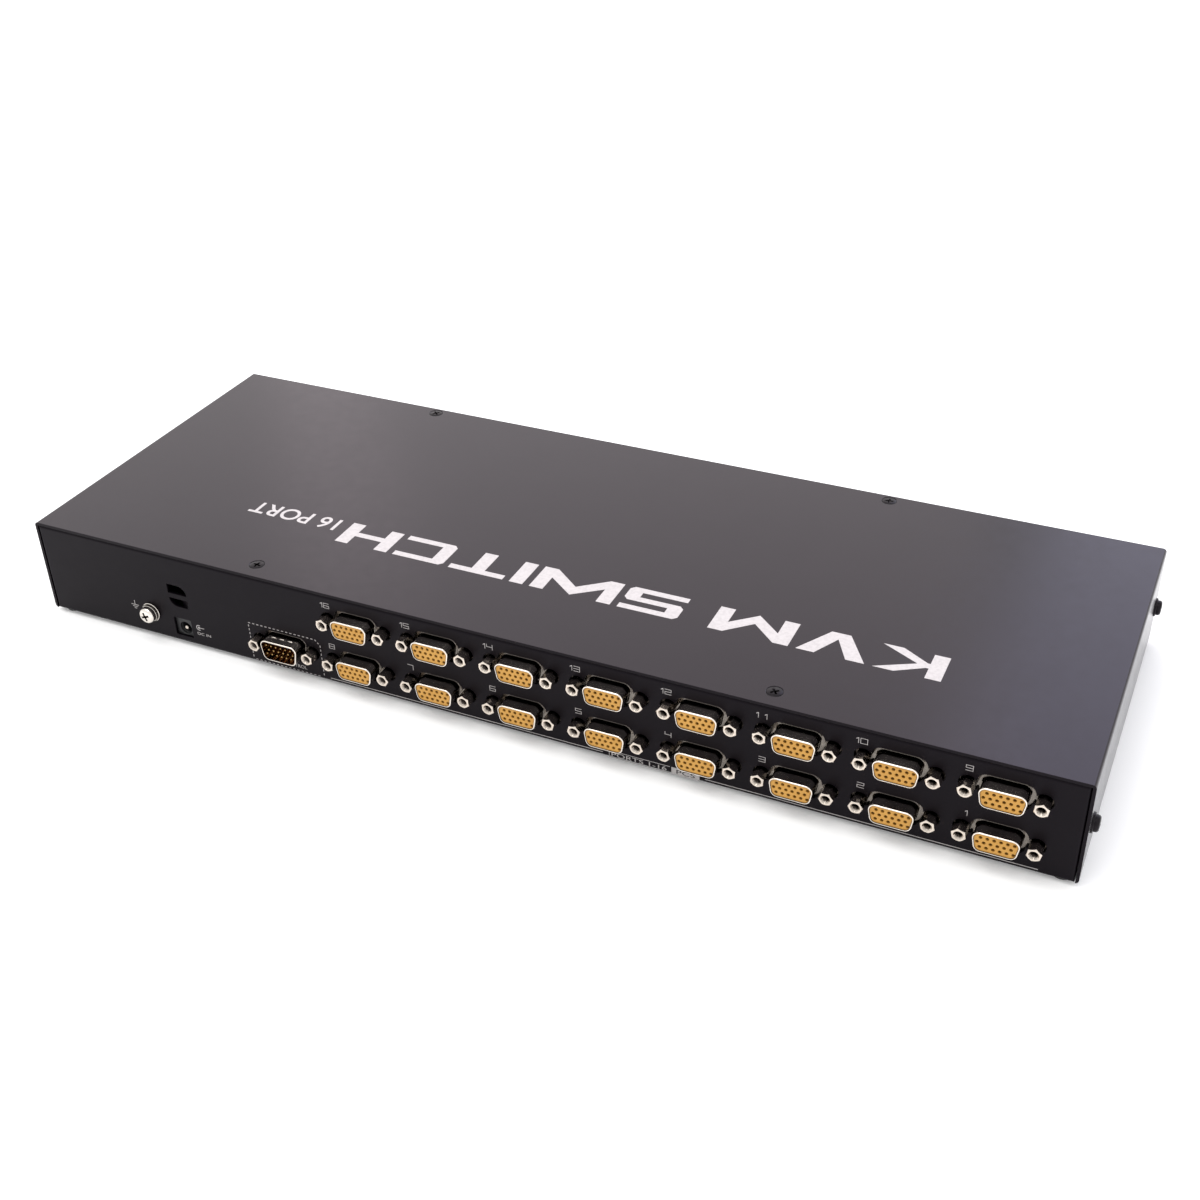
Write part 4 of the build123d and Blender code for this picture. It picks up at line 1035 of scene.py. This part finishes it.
class Print:
    """Flat ink shapes on one seat, all gathered into one raised mesh."""

    def __init__(self):
        self.bm = bmesh.new()

    def shape(self, points):
        verts = [self.bm.verts.new((x, y, 0)) for x, y in points]
        self.bm.faces.new(verts)

    def line(self, start, end, width=RULE_W):
        a, b = Vector(start), Vector(end)
        side = (b - a).normalized().orthogonal() * width / 2
        self.shape([a + side, a - side, b - side, b + side])

    def arch(self, centre, radius, first, last, width=RULE_W, steps=24):
        outer = arc(centre, radius + width / 2, first, last, steps)
        inner = arc(centre, radius - width / 2, first, last, steps)
        for k in range(steps):
            self.shape([outer[k], outer[k + 1], inner[k + 1], inner[k]])

    def dashes(self, start, end, dash=1.0, gap=0.95, width=RULE_W):
        a, b = Vector(start), Vector(end)
        count = max(1, round((b - a).length / (dash + gap)))
        step = (b - a) / count
        part = step * dash / (dash + gap)
        for k in range(count):
            self.line(a + step * k, a + step * k + part, width)

    def words(self, text, at, height, width, bold=0.0):
        """Plain lettering from its lower left corner, that high and the whole line that wide."""
        curve = bpy.data.curves.new("words", "FONT")
        curve.body = text
        curve.size = 1.0
        curve.offset = bold
        curve.resolution_u = 4
        holder = bpy.data.objects.new("words", curve)
        mesh = bpy.data.meshes.new_from_object(holder)
        bpy.data.objects.remove(holder)
        xs = [v.co.x for v in mesh.vertices]
        ys = [v.co.y for v in mesh.vertices]
        tall = height / (max(ys) - min(ys))
        wide = width / (max(xs) - min(xs))
        mesh.transform(Matrix.Translation((-min(xs), -min(ys), 0)))
        mesh.transform(Matrix.Translation((*at, 0)) @ Matrix.Diagonal((wide, tall, 1, 1)))
        self.bm.from_mesh(mesh)
        bpy.data.meshes.remove(mesh)

    def digits(self, text, right, base, height, width, stroke=DIGIT_STROKE):
        """Squared numerals that end at the given right edge."""
        left = right - len(text) * (width + DIGIT_GAP) + DIGIT_GAP
        half = stroke / 2
        rows = (base + half, base + height / 2, base + height - half)
        for digit in text:
            columns = (left + half, left + width - half)
            bars = {row for _, row, _, end in SEGMENTS[digit] if row == end}
            inset = [half if row in bars else half * (row == 1) - half for row in range(3)]
            for column, row, _, end in SEGMENTS[digit]:
                if row == end:
                    self.line((left, rows[row]), (left + width, rows[row]), stroke)
                    continue
                x = columns[column]
                self.line((x, rows[row] + inset[row]), (x, rows[end] - inset[end]), stroke)
            if digit == "1":
                edge, top = left + width - stroke, base + height
                flag = [(0, 0), (-0.7, -0.45), (-0.7, -0.8), (0, -0.4)]
                self.shape([(edge + x, top + y) for x, y in flag])
            left += width + DIGIT_GAP

    def finish(self, name, place, slot, ink, thickness=INK):
        self.bm.normal_update()
        for face in self.bm.faces:
            if face.normal.z < 0:
                face.normal_flip()
        made = bmesh.ops.extrude_face_region(self.bm, geom=self.bm.faces[:])
        raised = [part for part in made["geom"] if isinstance(part, bmesh.types.BMVert)]
        bmesh.ops.translate(self.bm, verts=raised, vec=(0, 0, thickness))
        new_piece(name, self.bm, slot, place, material=ink, sharp=20)


def letter(name, width, up=15.0, stem=5.8, bar=2.9, cut=1.6):
    """Outline of one heavy letter, that wide and that high."""
    w, mid = width, up / 2
    low_bar, high_bar = mid - bar / 2, mid + bar / 2
    if name == "I":
        return [(0, 0), (stem, 0), (stem, up), (0, up)]
    if name == "T":
        left, right, under = (w - stem) / 2, (w + stem) / 2, up - bar
        stroke = [(left, 0), (right, 0), (right, under)]
        return [*stroke, (w, under), (w, up), (0, up), (0, under), (left, under)]
    if name == "H":
        half = [(0, 0), (stem, 0), (stem, low_bar), (w - stem, low_bar), (w - stem, 0), (w, 0)]
        return half + [(w - x, up - y) for x, y in half]
    if name == "C":
        half = [(w, bar), (w, 0), (cut, 0), (0, cut)]
        return half[::-1] + [(stem, up - bar), (stem, bar)][::-1] + [(x, up - y) for x, y in half]
    if name == "S":
        half = [(0, 0), (w - cut, 0), (w, cut), (w, high_bar - cut), (w - cut, high_bar)]
        half += [(stem, high_bar), (stem, up - bar), (w, up - bar)]
        return half + [(w - x, up - y) for x, y in half]
    if name == "V":
        foot, arm, mid_w = 3.6, 6.9, w / 2
        half = [(mid_w - foot, 0), (mid_w + foot, 0), (w, up), (w - arm, up)]
        return [*half, (mid_w, 4.0), (arm, up), (0, up)]
    if name == "K":
        arm, crotch = 7.6, stem + 4.4
        return [
            (0, 0), (stem, 0), (stem, low_bar), (stem + 1.0, low_bar), (w - arm, 0), (w, 0),
            (crotch, mid), (w, up), (w - arm, up), (stem + 1.0, high_bar), (stem, high_bar),
            (stem, up), (0, up),
        ]
    dip = 6.2
    valley = [(0, 0), (0, up), (stem, up), (w / 2, dip), (w - stem, up), (w, up), (w, 0)]
    valley += [(w - stem, 0), (w - stem, up - dip), (w / 2, 0.4), (stem, up - dip), (stem, 0)]
    return valley if name == "M" else [(w - x, up - y) for x, y in valley]


def print_top():
    """Plain generic name across the cover, read from the front."""
    big = Print()
    x = 0.0
    for name in "KVM SWITCH":
        if name == " ":
            x += WORD_GAP - LETTER_GAP
            continue
        width = LETTER_WIDTHS[name]
        big.shape([(x + px, py) for px, py in letter(name, width)])
        x += width + LETTER_GAP
    big.finish("print_top_word", top_place(*WORD_PLACE), "cover_coat", "white_ink")
    small = Print()
    small.words("16 PORT", (0, 0), *SMALL_WORD_SIZE, bold=0.012)
    place = top_place(SMALL_WORD_X, WORD_PLACE[1])
    small.finish("print_top_small", place, "cover_coat", "white_ink")


def print_rear():
    """Port numbers, the line and label under the ports, and the console's dashed frame."""
    numbers = Print()
    aside, above = NUMBER_OFFSET
    for number, (x, z) in enumerate(PORTS, start=1):
        numbers.digits(str(number), -x + aside, z + above, *NUMBER_SIZE)
    numbers.finish("print_port_numbers", rear_place(0, 0), "chassis_coat", "grey_ink")

    rules = Print()
    for start, end in PORT_LINES:
        rules.line((start, PORT_LINE_Z), (end, PORT_LINE_Z), THIN_RULE_W)
    rules.words("PORTS 1-16", (46.5, 2.5), 1.9, 22.0)
    for level in (1.95, 4.9):
        rules.line((45.7, level), (69.8, level), LABEL_RULE_W)
    rules.line((45.6, 1.84), (45.6, 5.01), LABEL_RULE_W)
    rules.shape([(70.4, 1.85), (81.4, 1.85), (81.4, 5.0), (70.4, 5.0)])
    rules.finish("print_port_rules", rear_place(0, 0), "chassis_coat", "grey_ink")
    knocked = Print()
    knocked.words("PCS", (72.4, 2.5), 1.8, 7.2)
    place = rear_place(0, 0, INK)
    knocked.finish("print_port_knockout", place, "chassis_coat", "chassis_coat", INK / 2)

    console = Print()
    left, right, low, high = CONSOLE_FRAME
    cut_x, cut_z = right - FRAME_CORNER, high - FRAME_CORNER
    console.dashes((left, high), (cut_x, high))
    console.dashes((cut_x, high), (right, cut_z))
    console.dashes((right, cut_z), (right, low))
    console.dashes((left + 1.0, low), (right - 1.0, low))
    console.dashes((left, high - 1.0), (left, low))
    console.words("CONTROL", (right - 19.0, low + 1.5), 1.6, 11.0)
    console.finish("print_console_frame", rear_place(0, 0), "chassis_coat", "grey_ink")


def print_power():
    """Earth symbol by the ground screw and polarity symbol by the power inlet."""
    marks = Print()
    x, z = axis_of("ground_flat_washer")
    across = -x - 8.3
    marks.line((across, z + 3.6), (across, z + 1.55), THIN_RULE_W)
    for row, half in enumerate((1.9, 1.25, 0.6)):
        level = z + 1.4 - 0.85 * row
        marks.line((across - half, level), (across + half, level), THIN_RULE_W)
    x, z = axis_of("dc_jack_pin")
    across = -x + 8.0
    centre = z + 3.0
    marks.arch((across, centre), 1.15, 60, 300)
    marks.arch((across, centre), 0.3, 0, 360, 0.4)
    marks.line((across + 0.5, centre), (across + 2.6, centre), 0.28)
    marks.words("DC IN", (across - 1.2, centre - 3.6), 1.3, 6.6)
    marks.finish("print_power_marks", rear_place(0, 0), "chassis_coat", "grey_ink")


def print_front():
    """Lamp numbers, arrows over the keys, reset and power symbols."""
    columns, rows, power = lamp_places()
    marks = Print()
    middle = sum(rows) / 2
    height, width, _ = FRONT_DIGIT
    for number, x in enumerate(columns, start=1):
        half = (len(str(number)) * (width + DIGIT_GAP) - DIGIT_GAP) / 2
        marks.digits(str(number), x + half, middle - height / 2, *FRONT_DIGIT)
    left = columns[0] - 9.0
    marks.arch((left, rows[1]), 1.3, 0, 360)
    marks.shape(circle(left, rows[0], 1.4, 24))
    for node, way in (("port_down_button", -1), ("port_up_button", 1)):
        x, z = axis_of(node)
        middle = z + FRONT_MARK_UP
        tip, base = middle + 1.1 * way, middle - 1.1 * way
        marks.shape([(x - 1.7, base), (x + 1.7, base), (x, tip)][::way])
    x, z = axis_of("reset_button")
    middle = z + FRONT_MARK_UP
    marks.arch((x, middle), 1.2, 120, 420)
    marks.shape([(x - 1.5, middle), (x + 0.1, middle + 0.5), (x - 0.9, middle + 1.8)])
    x, z = power
    middle = z + FRONT_MARK_UP
    marks.arch((x, middle), 1.25, 125, 415)
    marks.line((x, middle + 0.2), (x, middle + 1.8))
    marks.finish("print_front_marks", front_place(0, 0), "chassis_coat", "grey_ink")


# ---- whole scene ----

MATERIALS = make_materials()
make_camera()
make_studio()
dress_cad_nodes()
make_ports()
make_console()
make_jackscrews()
make_inlet()
make_ground_terminal()
make_side_screws()
make_cover_screws()
make_feet()
make_lamps()
make_buttons()
print_top()
print_rear()
print_power()
print_front()
